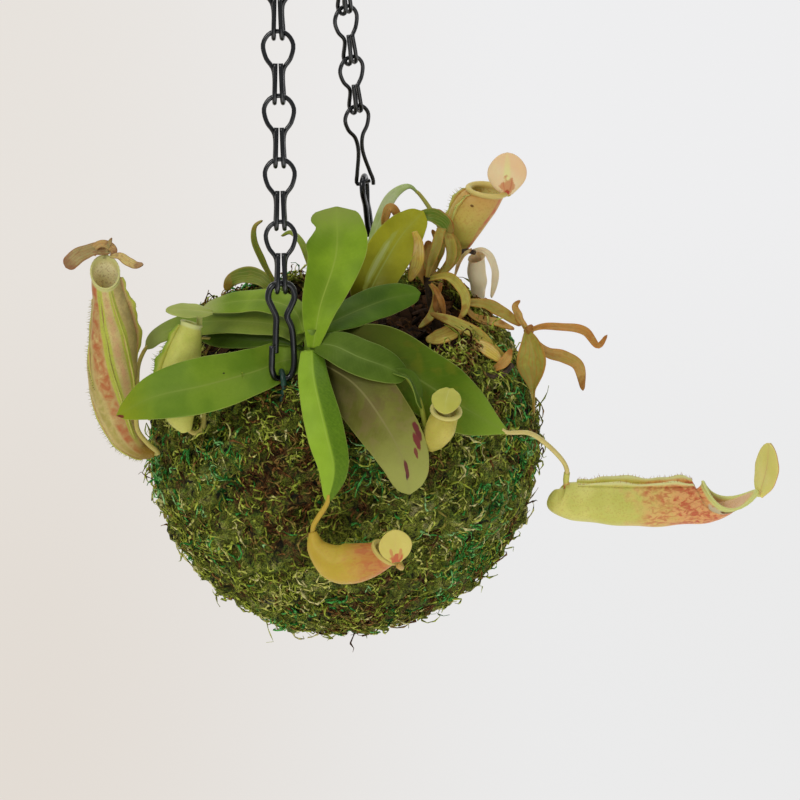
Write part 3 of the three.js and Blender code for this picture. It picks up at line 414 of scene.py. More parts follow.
def cup_shape(wall, floor=0.3, rows=80, sides=56, lip=1.0, dents=0.14, seed=1):
    """A hollow pitcher with a rolled, ribbed lip."""
    angles = np.arange(sides) / sides * 2 * math.pi
    outer = np.linspace(0, LIP_START, rows)
    inner = np.linspace(LIP_START, floor, rows // 3)
    section = (
        [[t, 0, 0] for t in outer]
        + [[t, offset * lip, rise * lip] for t, offset, rise in LIP]
        + [[t, -PITCHER_WALL, 0] for t in inner]
    )
    t, offset, rise = (np.array(section)[:, k][:, None] for k in range(3))
    is_lip = np.zeros(len(section))
    is_lip[rows : rows + len(LIP)] = 1
    ribs = is_lip[:, None] * LIP_RIB_HEIGHT * np.cos(angles * LIP_RIBS)
    rings = wall.point(t, angles, offset + ribs, rise)
    lumps = waves(rings, 9, seed) * dents * (1 - is_lip)[:, None]
    outward = wall.point(t, angles, offset + 1, rise) - wall.point(t, angles, offset, rise)
    rings = rings + outward * lumps[..., None]
    inside = np.zeros(len(section))
    inside[rows + len(LIP) :] = 1
    shape = rings_shape(rings, along=t[:, 0], lip=is_lip, inside=inside)
    turn = angles - between(wall.twist, t[:, 0])[:, None]
    shape.numbers["turn"] = (np.angle(np.exp(1j * turn)) / math.pi).ravel()
    return shape


WING_ROWS = 70
FLUTTER = 0.25
# A wing's section: [place across it, share of its height, share of its lean].
WING_SECTION = [
    [-0.45, -0.3, 0], [-0.2, 0.5, 0.5], [-0.1, 1, 1], [0.1, 1, 1], [0.2, 0.5, 0.5], [0.45, -0.3, 0],
]


def wing_shape(wall, angle, start, end, height, hair, gap, seed):
    """A thin ridge along the wall with a waved crest and a fringe of hairs."""
    rng = np.random.default_rng(seed)
    run = np.linspace(0, 1, WING_ROWS)
    t = start + (end - start) * run
    angle = angle + between(wall.twist, t)
    crest = height * np.sin(math.pi * (0.06 + 0.88 * run)) ** 0.6
    wave = 1 + FLUTTER * np.sin(run * 17 + seed)
    crest = crest * (wave + 0.4 * FLUTTER * np.sin(run * 41 + 2 * seed))
    lean = 0.12 * np.sin(run * 23 + seed) / wall.width(t) * height
    rings = []
    for side, up, bend in WING_SECTION:
        offset = np.where(up > 0, crest * up, up)
        rings.append(wall.point(t, angle + side / wall.width(t) + bend * lean, offset))
    shape = rings_shape(np.stack(rings, axis=1), along=t)
    shape.numbers["wing"] = np.tile([float(bend) for _, _, bend in WING_SECTION], WING_ROWS)
    length = np.linalg.norm(np.diff(wall.point(t, angle), axis=0), axis=1).sum()
    count = int(length / gap)
    at = (np.arange(count) + rng.uniform(-0.3, 0.3, count)).clip(0) / count
    place, angle, top = (np.interp(at, run, values) for values in (t, angle, crest))
    roots = wall.point(place, angle, top - 0.1)
    ways = wall.point(place, angle, top + 1) - roots + rng.normal(0, 0.35, (count, 3))
    return shape + hairs(roots, ways, hair * rng.uniform(0.6, 1.25, count))


# The chains

HOOK_POINT = np.array([0, 0, -HOOK_LENGTH]) - BALL_CENTRE
SEAT_RISE = HOOK_WIRE + CHAIN_WIRE + 0.35
SEAT_SPREAD = 1.5
LINK_GAP = 0.16
LINK_EYE = [[2.6, 0, -0.8], [4.4, 0, -3.7], [3.6, 0, -7.8], [1.5, 0, -11]]
LINK_LEG = 1.4
LINK_TUCK = 0.3
LINK_END = [0.78, -1.55, -9.2]
LINK_SLOPE = 0.3
CLIP_SLOPE = 0.5
BAR_LINK_WAIST = -16
CLIP_POINTS = [
    [-2, 0, 8.2], [-1.8, 0, 15], [-1.7, 0, 19.5], [-2.9, 0, 22.4], [-4, 0, 25.4],
    [-2.9, 0, 28.7], [0, 0, CLIP_HEIGHT], [2.9, 0, 28.7], [4, 0, 25.4], [2.9, 0, 22.4],
    [1.7, 0, 19.6], [3, 0, 16], [3.5, 0, 11], [3.4, 0, 3], [2, 0, 0.4], [0, 0, 0],
    [-2.2, -0.6, 0.6], [-3.3, -1.7, 3], [-3.4, -2.3, 7], [-3.2, -2.35, 10.8],
]
# Twists about the chain's line: [link, degrees].
FRONT_TWISTS = [[0, 0], [5, 4], [9, -2], [13, 5]]
BACK_TWISTS = [[0, 5], [8, 43], [9, 44], [13, 27]]


def mirrored(points):
    return [[-x, y, z] for x, y, z in reversed(points)]


def link_points(pitch, held, slope):
    """A link's wire: held is the radius of the wire in its folds, which falls away by slope."""
    fold = (held + CHAIN_WIRE + LINK_GAP) / math.cos(math.pi / 6)
    height = -pitch - slope * LINK_LEG
    half = list(LINK_EYE)
    for turn in (0, 60, 120, 180):
        angle = math.radians(turn)
        out = LINK_LEG - LINK_TUCK * turn / 180
        half.append([out, fold * math.cos(angle), height - fold * math.sin(angle)])
    half.append(LINK_END)
    return [*mirrored(half), [0, 0, 0], *half]


def bar_link_points(pitch):
    """The lowest back link, which spreads into a triangle whose bar the clip hangs on."""
    bar = -pitch - CLIP_WIRE - CHAIN_WIRE - LINK_GAP
    left = [
        [2.3, 0, bar], [0, 0, bar], [-2.3, 0, bar], [-2.8, 0, bar + 0.9], [-2.2, 0, bar + 4],
        [-0.78, 0, BAR_LINK_WAIST], *mirrored(LINK_EYE),
    ]
    right = [
        *LINK_EYE, [0.78, 0, BAR_LINK_WAIST], [2.2, -0.9, bar + 4], [2.8, -1.6, bar + 0.9],
        [2.7, -1.7, bar - 0.9],
    ]
    return [*left, [0, 0, 0], *right]


def placed(points, foot, way, height, twist):
    """Points turned by twist about the chain's line, and set at a height above its foot."""
    angle = math.radians(twist)
    turn = np.array(
        [[math.cos(angle), -math.sin(angle), 0], [math.sin(angle), math.cos(angle), 0], [0, 0, 1]]
    )
    axis, dot = np.cross(UP, way), UP @ way
    skew = np.array([[0, -axis[2], axis[1]], [axis[2], 0, -axis[0]], [-axis[1], axis[0], 0]])
    lean = np.eye(3) + skew + skew @ skew / (1 + dot)
    return (np.array(points, float) @ turn.T + [0, 0, height]) @ lean.T + foot


def make_chain(side, eye, seat, twists, clip_twist, stretch, look):
    way = unit(seat - eye)
    length = np.linalg.norm(seat - eye)
    pitch = (length - CLIP_HEIGHT - stretch) / LINKS
    clip = placed(CLIP_POINTS, eye, way, 0, clip_twist)
    make(f"wire_clip_{side}", tube(clip, CLIP_WIRE, 14), look, "chain", f"clip_{side}")
    for at in range(LINKS):
        if at < LINKS - 1:
            points = link_points(pitch, CHAIN_WIRE, LINK_SLOPE)
        elif side == "front":
            points = link_points(pitch, CLIP_WIRE, CLIP_SLOPE)
        else:
            points = bar_link_points(pitch + stretch)
        twist = np.interp(at, *np.array(twists).T)
        route = placed(points, eye, way, length - at * pitch, twist)
        name = f"{side}_{at + 1:02d}"
        make(f"link_{name}", tube(route, CHAIN_WIRE, 9, samples=4), look, "chain", f"chain_{name}")


def hook_shape():
    """The hook: an upper bend for the rail and a lower one for the chains."""
    def bend(radius, centre, start, end):
        angles = np.radians(np.linspace(start, end, 13))
        return [[0, radius * math.cos(a), centre + radius * math.sin(a)] for a in angles]

    upper = bend(HOOK_UPPER_BEND, HOOK_WIRE - HOOK_UPPER_BEND, 195, -35)
    lower = bend(HOOK_LOWER_BEND, HOOK_LOWER_BEND - HOOK_LENGTH, 145, 375)
    shape = tube([*upper, *lower], HOOK_WIRE, 16, samples=4)
    shape.points -= BALL_CENTRE
    return shape


# Materials

def colour(code):
    """A colour written as 0xRRGGBB, as a shader takes it."""
    parts = [(code >> shift & 255) / 255 for shift in (16, 8, 0)]
    return (*(((c + 0.055) / 1.055) ** 2.4 if c > 0.04045 else c / 12.92 for c in parts), 1.0)


SPOT_GRAIN = 2.2


class Look:
    """A material whose colour and bump come from the nodes that its methods add."""

    def __init__(self, name, roughness, **sockets):
        self.material = bpy.data.materials.new(name)
        self.material.use_nodes = True
        self.nodes = self.material.node_tree.nodes
        self.links = self.material.node_tree.links
        self.shader = self.nodes["Principled BSDF"]
        self.shader.inputs["Roughness"].default_value = roughness
        for socket, value in sockets.items():
            self.shader.inputs[socket.replace("_", " ")].default_value = value
        self.place = self.nodes.new("ShaderNodeTexCoord").outputs["Object"]
        self.base = None

    def put(self, socket, value):
        if isinstance(value, bpy.types.NodeSocket):
            self.links.new(value, socket)
        else:
            socket.default_value = value

    def number(self, name):
        node = self.nodes.new("ShaderNodeAttribute")
        node.attribute_name = name
        return node.outputs["Fac"]

    def noise(self, size, detail=3.0, distortion=0.0, stretch=None, shift=0.0):
        """Noise with lumps about size mm across, longer along an axis where stretch is under 1."""
        node = self.nodes.new("ShaderNodeTexNoise")
        node.inputs["Scale"].default_value = 1 / (size * MM)
        node.inputs["Detail"].default_value = detail
        node.inputs["Distortion"].default_value = distortion
        mapping = self.nodes.new("ShaderNodeMapping")
        mapping.inputs["Scale"].default_value = stretch or (1, 1, 1)
        mapping.inputs["Location"].default_value = (shift, shift, shift)
        self.links.new(self.place, mapping.inputs["Vector"])
        self.links.new(mapping.outputs["Vector"], node.inputs["Vector"])
        return node.outputs["Fac"]

    def swing(self, *given, **more):
        """Noise that swings about 0."""
        return self.sum("SUBTRACT", self.noise(*given, **more), 0.5)

    def sum(self, operation, total, *rest):
        """The sum of the values, taken from left to right."""
        for value in rest:
            node = self.nodes.new("ShaderNodeMath")
            node.operation = operation
            self.put(node.inputs[0], total)
            self.put(node.inputs[1], value)
            total = node.outputs["Value"]
        return total

    def size(self, value):
        """The value without its sign."""
        return self.sum("ABSOLUTE", value, 0.0)

    def plus(self, *values):
        return self.sum("ADD", *values)

    def times(self, *values):
        return self.sum("MULTIPLY", *values)

    def far(self, value, at):
        """How far the value is from the given one."""
        return self.size(self.sum("SUBTRACT", value, at))

    def band(self, value, low, high):
        """0 below low, 1 above high, and smooth between; low may be the greater."""
        node = self.nodes.new("ShaderNodeMapRange")
        node.interpolation_type = "SMOOTHSTEP"
        self.put(node.inputs["Value"], value)
        node.inputs["From Min"].default_value = low
        node.inputs["From Max"].default_value = high
        return node.outputs["Result"]

    def mix(self, share, a, b):
        """Colour a where the share is 0, and b where it is 1."""
        node = self.nodes.new("ShaderNodeMix")
        node.data_type = "RGBA"
        self.put(node.inputs[0], share)
        self.put(node.inputs[6], colour(a) if isinstance(a, int) else a)
        self.put(node.inputs[7], colour(b) if isinstance(b, int) else b)
        return node.outputs[2]

    def ramp(self, value, *stops):
        node = self.nodes.new("ShaderNodeValToRGB")
        self.put(node.inputs["Fac"], value)
        elements = node.color_ramp.elements
        while len(elements) < len(stops):
            elements.new(0.5)
        for element, (place, code) in zip(elements, stops):
            element.position = place
            element.color = colour(code)
        return node.outputs["Color"]

    def spot(self, along, across, at, size, ragged):
        """A ragged patch at (along, across), of the given half sizes."""
        far = []
        for value, middle, half in zip((along, across), at, size):
            share = self.sum("DIVIDE", self.sum("SUBTRACT", value, middle), half)
            far.append(self.sum("POWER", self.size(share), 2.0))
        rough = self.times(self.swing(SPOT_GRAIN, 4), 4 * ragged)
        return self.band(self.plus(*far, rough), 1.35, 0.65)

    def paint(self, code, *shares):
        """Lays a colour over the base, by the product of the shares."""
        self.base = self.mix(self.times(*shares), self.base, code)

    def done(self, height, depth, strength):
        """Sets the colour, and a bump of the given depth in mm."""
        self.put(self.shader.inputs["Base Color"], self.base)
        bump = self.nodes.new("ShaderNodeBump")
        bump.inputs["Strength"].default_value = strength
        bump.inputs["Distance"].default_value = depth * MM
        self.put(bump.inputs["Height"], height)
        self.links.new(bump.outputs["Normal"], self.shader.inputs["Normal"])
        return self.material


SATIN = 0.42
LEAF_GLINT = (0.9, 1.0, 0.45, 1.0)
PITCHER_GLINT = (1, 1, 0.7, 1)
LEAF_UNDERSIDE = 0x96A648


def leaf_look(name, light, dark, rib, edge, roughness=SATIN, tip=None, spots=(), tendril=0xD8C878,
              rib_width=0.045, mottle=None, root=None, half=None, edge_share=0.5, root_end=0.5,
              tip_start=0.8):
    """A leaf: two greens in soft patches, a pale midrib and edge, faint veins and given spots.

    root is painted shade at the base, as far as root_end, tip its colour from tip_start on, and
    half painted shade to the right of the midrib.
    """
    look = Look(name, roughness, Subsurface_Weight=0.08, Subsurface_Scale=0.002,
                Subsurface_Radius=(0.6, 1.0, 0.2), Specular_IOR_Level=0.24,
                Specular_Tint=LEAF_GLINT)
    along, across = look.number("along"), look.number("across")
    reach = look.size(across)
    fine = look.noise(0.7, 4)
    lines = look.sum("SUBTRACT", look.times(along, 26.0), look.times(reach, 3.4))
    waver = look.times(look.noise(5, 2), 1.6)
    is_vein = look.band(look.sum("PINGPONG", look.plus(lines, waver), 0.5), 0.1, 0.0)
    look.base = look.mix(look.band(look.noise(11, 3), 0.32, 0.68), dark, light)
    # half is painted shade: the blade's right half, past the midrib, darker as if turned away from the
    # light.
    if half:
        look.paint(half, look.band(across, 0.04, 0.16), 0.85)
    if mottle:
        look.paint(mottle, look.band(look.noise(5, 5, 0.6), 0.48, 0.66))
    look.paint(dark, look.band(fine, 0.3, 0.75), 0.22)
    look.paint(rib, is_vein, 0.08)
    # root is painted shade: the base of the blade darker, as far as root_end, where leaves and stems
    # above shade it.
    if root:
        look.paint(root, look.band(along, root_end, root_end / 8), 0.9)
    if tip:
        look.paint(tip, look.band(look.plus(along, look.times(fine, 0.1)), tip_start, 1.06))
    look.paint(rib, look.band(reach, rib_width, rib_width * 0.3), look.band(along, 1.1, 0.35), 0.7)
    look.paint(rib, look.band(reach, 0.3, 0.0), 0.16)
    look.paint(edge, look.band(reach, 0.965, 0.995), edge_share)
    look.paint(LEAF_UNDERSIDE, look.number("under"), 0.55)
    for at, size, code, ragged in spots:
        look.paint(code, look.spot(along, across, at, size, ragged))
    tendril = look.mix(look.times(look.noise(2, 3), 0.6), tendril, 0xB8A04A)
    look.paint(tendril, look.number("tendril"))
    height = look.plus(look.times(is_vein, 0.3), look.noise(0.9, 3))
    return look.done(height, 0.12, 0.35)


def pitcher_look(name, base, shade, stipple, blush=None, blush_from=0.4, blush_to=0.6, mottle=None,
                 lip=0xE0E2A0, inside=0xE4D890, wing=0xCCD070, hair=0x9A5A3A, spots=(), stripes=(),
                 rib=None, low=None, dot_size=0.55):
    """A pitcher: stippled yellow-green, blushing along its length, with a pale lip and wings.

    stripes run along it: [turn, half width, colour, share]. rib colours both broad ribs. low is
    the colour of its foot.
    """
    look = Look(name, SATIN, Subsurface_Weight=0.15, Subsurface_Scale=0.003,
                Subsurface_Radius=(1.0, 0.7, 0.25), Specular_IOR_Level=0.25,
                Specular_Tint=PITCHER_GLINT)
    along, turn = look.number("along"), look.number("turn")
    look.base = look.mix(look.band(look.noise(8, 3), 0.35, 0.7), shade, base)
    if blush:
        ragged = look.times(look.swing(4, 4), 0.35)
        share = look.band(look.plus(along, ragged), blush_from, blush_to)
        look.paint(blush, share)
        if mottle:
            flecks = look.band(look.noise(1.5, 9, 0.9, stretch=(0.6, 1, 1)), 0.42, 0.62)
            look.paint(mottle, share, flecks, 0.85)
    waver = look.times(look.swing(5, 3), 0.12)
    wavy = look.plus(turn, waver)
    for at, width, code, share in stripes:
        grain = look.band(look.noise(2.4, 6, 0.5), 0.22, 0.66)
        look.paint(code, look.band(look.far(wavy, at), width, width * 0.35), grain, share)
    if rib:
        far = look.far(look.size(turn), WING_ANGLE / math.pi)
        look.paint(rib, look.band(far, 0.066, 0.046), look.band(along, 0.1, 0.3), 0.85)
    if low:
        look.paint(low, look.band(look.plus(along, waver), 0.3, 0.05))
    dots = look.band(look.noise(dot_size, 2), 0.52, 0.66)
    look.paint(stipple, dots, 0.35)
    for at, size, code, ragged in spots:
        look.paint(code, look.spot(along, turn, at, size, ragged))
    look.paint(look.mix(look.times(dots, 0.5), inside, stipple), look.number("inside"))
    look.paint(lip, look.number("lip"))
    look.paint(wing, look.band(look.number("wing"), 0.25, 0.8))
    look.paint(hair, look.number("hair"))
    return look.done(look.noise(0.6, 3), 0.1, 0.4)


def plain_look(name, light, dark, roughness, size=4, depth=0.1, streaks=None, **sockets):
    """Two colours in patches, with a fine bump."""
    look = Look(name, roughness, **sockets)
    look.base = look.mix(look.band(look.noise(size, 5, 0.4), 0.35, 0.65), dark, light)
    if streaks:
        look.paint(streaks, look.band(look.noise(size / 3, 5, 1.0), 0.55, 0.68))
    return look.done(look.noise(size / 6, 4), depth, 0.5)


MOSS_HUES = [
    (0.02, 0x4A2C14), (0.16, 0x986434), (0.28, 0x9E8846), (0.4, 0x868C30), (0.54, 0xA6B43C),
    (0.68, 0xC4D052), (0.84, 0xDAD872), (0.98, 0xECE49C),
]
EMERALD_HUES = [(0.1, 0x245F24), (0.45, 0x42A042), (0.75, 0x70C864), (0.95, 0xA8DC90)]
GROUND_GAP_SHADE = 0x14140A
STRAND_ROOT_SHADE = 0x16190B


def moss_look(name, ground=False):
    """Moss: each strand's hue runs from dark brown over olive to straw, and some are emerald."""
    look = Look(name, 0.8, Specular_IOR_Level=0.15)
    hue = look.plus(look.number("hue"), look.times(look.swing(1.6, 4), 0.5))
    emerald = look.number("emerald")
    if ground:
        hue = look.plus(hue, look.times(look.swing(3.4, 5, 0.8, shift=1.0), 1.5))
        blotch = look.band(look.noise(2.8, 5, 0.8, shift=4.0), 0.5, 0.62)
        emerald = look.sum("MAXIMUM", look.times(emerald, blotch), look.times(blotch, 0.3))
    look.base = look.ramp(hue, *MOSS_HUES)
    look.paint(look.ramp(hue, *EMERALD_HUES), emerald)
    if ground:
        # Painted strands on the ground: lit curls over painted shade in the gaps between them.
        curls = [
            look.band(look.far(noise, 0.5), 0.085, 0.0)
            for noise in (look.noise(1.3, 5, 1.8), look.noise(0.7, 3, 1.2, shift=5.0))
        ]
        lit = look.plus(look.times(curls[0], 0.7), look.times(curls[1], 0.5), 0.1)
        share = look.times(lit, look.band(look.noise(2.8, 4, 1.0, shift=2.0), 0.32, 0.5))
        look.base = look.mix(share, GROUND_GAP_SHADE, look.base)
        return look.done(share, 0.8, 0.8)
    # Painted shade: each strand darker towards its root, where the strands around it shade it.
    look.paint(STRAND_ROOT_SHADE, look.band(look.number("along"), 0.5, -0.6), 0.66)
    return look.done(look.noise(0.5, 3), 0.15, 0.5)


# The moss ball

def lumps(turn, rise):
    return (
        np.sin(5 * turn + 3 * rise) * 0.4
        + np.sin(11 * turn - 7 * rise) * 0.35
        + np.sin(3 * turn + 13 * rise + 1) * 0.25
    )


# Where the moss is browner or greener, as seen from the front and above:
# [right, up, reach, added hue, added emerald], the first three in mm.
MOSS_PATCHES = [
    [-60, -12, 10, 0.1, 0.7], [-44, -50, 11, 0.1, 0.6], [-16, -54, 8, 0, 0.5],
    [47, -20, 13, 0.15, 0.9], [60, -8, 9, 0.1, 0.8], [60, 16, 9, 0.05, 0.6],
    [36, -42, 12, 0.1, 0.6], [-44, -16, 6, 0.1, 0.7], [-26, -12, 14, -0.14, 0],
    [-4, -8, 12, -0.1, 0], [-32, 2, 10, -0.08, 0], [18, -54, 11, -0.16, 0], [25, -26, 9, 0.2, 0],
    [50, -33, 9, 0.14, 0.2], [2, -54, 13, -0.14, 0], [-56, -34, 8, -0.16, 0],
    [-38, -4, 12, 0.14, 0], [-14, -40, 13, 0.12, 0], [26, -16, 9, 0.12, 0], [8, -26, 12, 0.06, 0.1],
]


TUFTS_SUNK = 0.8
# Where the ball is flatter, seen in the same way: [right, up, reach, depth].
MOSS_FLATS = [
    [59, -20, 17, 2.2], [44, -46, 18, 1.5], [8, -63, 24, 1.9], [-46, -46, 17, 2.0],
    [-62, -14, 10, 0.8],
]


def nearness(points, right, up, reach):
    """1 at the place on the ball that the camera sees at right and up, and 0 far from it."""
    back = math.sqrt(max(BALL_RADIUS**2 - right**2 - up**2, 0))
    place = np.array([right, up, back]) @ np.stack([VIEW_RIGHT, VIEW_UP, VIEW_BACK])
    return np.exp(-((np.linalg.norm(points - place, axis=-1) / reach) ** 2))


def tuft_waves(points):
    """How far each tuft stands out and each cleft goes in at the points, in mm."""
    return 1.4 * waves(points, 10, 3) + 0.9 * waves(points, 4.5, 4)


def moss_hue(points):
    """The hue and the share of emerald of moss at the points, browner in the clefts."""
    hue = 0.46 + 0.09 * waves(points, 22, 31) + 0.05 * waves(points, 8, 32)
    hue = hue + 0.07 * tuft_waves(points)
    emerald = 0.34 * waves(points, 24, 33) + 0.14 * waves(points, 7, 34) - 0.28
    for *place, shift, green in MOSS_PATCHES:
        near = nearness(points, *place)
        hue, emerald = hue + shift * near, emerald + green * near
    return hue, emerald


def moss_tufts(points):
    """How far the moss stands out at the points, in mm."""
    flats = sum(depth * nearness(points, *place) for *place, depth in MOSS_FLATS)
    return tuft_waves(points) - TUFTS_SUNK - flats


def turned(section, sides):
    """A section's columns, how far its slope lifts each point per mm of y, and the turns."""
    columns = [np.array(section)[:, k][:, None] for k in range(3)]
    slope = np.where(columns[1] > 0, RIM_SLOPE * columns[1] / RIM_HEIGHT, 0)
    return (*columns, slope, np.arange(sides) / sides * 2 * math.pi)


def arc(radius, start, end, count, relief):
    """Rows of a section along a circle about the ball's centre: [out, height, relief]."""
    return [
        [radius * math.cos(a), radius * math.sin(a), relief] for a in np.linspace(start, end, count)
    ]


BOTTOM = -math.pi / 2
INNER_RIM = RIM_HEIGHT - 4
BASE_SIDES = 180
BASE_ROWS = 90
INNER_ROWS = 16
# The section's rows over the rim: [out from its edge, above it, relief].
RIM_SECTION = [[-1.6, 1.2, 0.8], [-3.4, -0.6, 0.5]]


def moss_base():
    """The moss wrap without its strands: a lumpy shell, open at the top, closed in section."""
    inner = BALL_RADIUS - MOSS_THICKNESS
    rim = math.asin(RIM_HEIGHT / BALL_RADIUS)
    edge = BALL_RADIUS * math.cos(rim)
    section = [
        *arc(BALL_RADIUS, BOTTOM + 0.02, rim, BASE_ROWS, 1.0),
        *([edge + out, RIM_HEIGHT + up, relief] for out, up, relief in RIM_SECTION),
        *arc(inner, math.asin(INNER_RIM / inner), BOTTOM + 0.04, INNER_ROWS, 0.0),
    ]
    out, height, relief, slope, turn = turned(section, BASE_SIDES)
    radius = out + relief * MOSS_RELIEF * lumps(turn, height / 20) * (out > 12)
    y = radius * np.sin(turn)
    points = np.stack([radius * np.cos(turn), y, height + slope * y], axis=-1)
    points = points + unit(points) * (moss_tufts(points) * relief)[..., None]
    shape = rings_shape(points)
    hue, emerald = moss_hue(shape.points)
    shape.numbers = {"hue": hue, "emerald": smooth_step(emerald, 0.1, 0.5)}
    return shape


STRANDS = 16500
# How many times as many are drawn, because those over the opening fall away.
SPARE_STRANDS = 1.5
RIM_STRANDS = 1700
STRAND_PIECES = 4
STRAND_STEPS = 5
STRAND_SIDES = 3
STRAND_SEED = 11
STRAND_LENGTH = 5.2
STRAND_LENGTHS = (2.2, 13)
LENGTH_SPREAD = 0.44
STRAND_CURL = 0.4
STRAND_WAVER = 0.35
HUE_SPREAD = 0.18
EMERALD_SPREAD = 0.3
EMERALD_FROM = 0.24
STRAND_RADII = (0.34, 0.72)
STRAND_LIFTS = (0.1, 0.95)
SWELLS = (0.5, 1.0)
WISPS = 0.05
WISP_LIFTS = (0.6, 1.2)
# Where the strands on the rim start: out from the middle, and above the rim.
RIM_BAND = (44.5, 51.0)
RIM_RISE = (-0.6, 1.8)


def moss_strands():
    """Curled strands that lie on the ball, each with rings that swell and narrow like leaflets."""
    rng = np.random.default_rng(STRAND_SEED)
    ways = unit(rng.normal(size=(int(STRANDS * SPARE_STRANDS), 3)))
    height = ways[:, 2] * BALL_RADIUS
    rim = RIM_HEIGHT + RIM_SLOPE * ways[:, 1] * BALL_RADIUS * 0.75
    ways = ways[height < rim + 1.0][:STRANDS]
    turn = rng.uniform(0, 2 * math.pi, RIM_STRANDS)
    out = rng.uniform(*RIM_BAND, RIM_STRANDS)
    y = out * np.sin(turn)
    rise = rng.uniform(*RIM_RISE, RIM_STRANDS)
    edge = np.stack([out * np.cos(turn), y, RIM_HEIGHT + rise + RIM_SLOPE * y], axis=1)
    roots = ways * (BALL_RADIUS - 1.0 + moss_tufts(ways * BALL_RADIUS)[:, None])
    roots = np.vstack([roots, edge])
    ways = unit(roots)
    count = len(roots)
    east = unit(np.cross(UP, ways))
    north = np.cross(ways, east)
    turn = 3.0 * waves(roots, 20, 5) + rng.normal(0, 1.1, count)
    heading = np.cos(turn)[:, None] * east + np.sin(turn)[:, None] * north
    length = rng.lognormal(math.log(STRAND_LENGTH), LENGTH_SPREAD, count).clip(*STRAND_LENGTHS)
    is_wisp = rng.random(count) < WISPS
    lift = np.where(is_wisp, rng.uniform(*WISP_LIFTS, count), rng.uniform(*STRAND_LIFTS, count))
    curl = rng.normal(0, STRAND_CURL, count) + 0.2 * np.sign(rng.normal(size=count))
    step = length / STRAND_STEPS
    place, way, up = roots.copy(), heading, ways.copy()
    thick = rng.uniform(*STRAND_RADII, count)
    tone = rng.random(count)
    hue, emerald = moss_hue(roots)
    clump = 0.1 * waves(roots, 3.2, 35, 12)
    hue = hue + 1.3 * clump + rng.normal(0, HUE_SPREAD, count) + 0.03 * moss_tufts(roots)
    emerald = emerald + rng.normal(0, EMERALD_SPREAD, count)
    is_emerald = (emerald > EMERALD_FROM).astype(float)
    angles = np.arange(STRAND_SIDES) / STRAND_SIDES * 2 * math.pi
    shares = np.arange(STRAND_STEPS + 1) / STRAND_STEPS
    rings = []
    for at, share in enumerate(shares):
        swell = SWELLS[at % 2] * (1 - 0.75 * share**2)
        rise = lift * (1 - np.where(is_wisp, 0.8, 2.1) * share)
        ahead = unit(way * np.cos(rise)[:, None] + up * np.sin(rise)[:, None])
        side = unit(np.cross(ahead, up))
        other = np.cross(side, ahead)
        spin = (angles[None, :] + share * 5 + tone[:, None] * 6)[..., None]
        ring = np.cos(spin) * side[:, None, :] + np.sin(spin) * other[:, None, :]
        rings.append(place[:, None, :] + ring * (thick * swell)[:, None, None])
        place = place + ahead * step[:, None]
        up = unit(place)
        bend = (curl + rng.normal(0, STRAND_WAVER, count)) * step
        way = unit(way - up * np.sum(way * up, axis=1, keepdims=True))
        way = way * np.cos(bend)[:, None] + np.cross(up, way) * np.sin(bend)[:, None]
    each = np.ones((count, STRAND_STEPS + 1, STRAND_SIDES))
    numbers = {
        "along": shares[:, None] * each,
        "hue": hue[:, None, None] * each,
        "emerald": is_emerald[:, None, None] * each,
    }
    return np.stack(rings, axis=1), numbers


def strand_shapes():
    """The strands, dealt out to a few pieces."""
    points, numbers = moss_strands()
    last = STRAND_STEPS * STRAND_SIDES
    quads = ring_quads(STRAND_STEPS + 1, STRAND_SIDES)
    caps = np.array([[2, 1, 0], [last, last + 1, last + 2]])
    shapes = []
    for part in range(STRAND_PIECES):
        mine = slice(part, None, STRAND_PIECES)
        first = (np.arange(len(points[mine])) * (last + STRAND_SIDES))[:, None, None]
        faces = []
        for kind in (quads, caps):
            faces += map(tuple, (kind + first).reshape(-1, kind.shape[1]).tolist())
        mine_numbers = {name: values[mine].ravel() for name, values in numbers.items()}
        shapes.append(Shape(points[mine], faces, **mine_numbers))
    return shapes


# The soil and the sling

SOIL_SIDES = 120
SOIL_ROWS = 24
SOIL_TOP_ROWS = 44
SOIL_TOP = RIM_HEIGHT - SOIL_DEPTH
OPENING = 45
CHIPS = 420
CHIPS_SEED = 4
CHIP_LENGTHS = (1.6, 6.5)
CHIP_WIDTHS = (0.35, 0.7)
CHIP_HEIGHTS = (0.2, 0.45)
CHIP_SIDES = 6
# A chip's section: [place along it, width].
CHIP_SECTION = [[-0.5, 0.45], [-0.3, 0.9], [0.15, 1.0], [0.42, 0.7], [0.5, 0.3]]
LARGE_CHIPS = 9
GOLDEN_TURN = 2.4


def soil_shape():
    """The potting mix: smooth where the moss hides it, rough and lumpy in the opening."""
    top = math.asin(INNER_RIM / (BALL_RADIUS - MOSS_THICKNESS))
    section = [
        *arc(BALL_RADIUS - MOSS_THICKNESS - SOIL_GAP, BOTTOM + 0.03, top, SOIL_ROWS, 0.0),
        *([out, SOIL_TOP, 1.3] for out in np.linspace(43, 0.6, SOIL_TOP_ROWS)),
    ]
    out, height, relief, slope, turn = turned(section, SOIL_SIDES)
    x, y = out * np.cos(turn), out * np.sin(turn)
    z = height + slope * y + relief * 0.7 * lumps(turn * 2, out / 9) * (out > 5)
    points = np.stack([x, y, z], axis=-1)
    points[..., 2] += 0.5 * relief * (waves(points, 6, 8) + 0.6 * waves(points, 2.6, 9))
    return rings_shape(points)


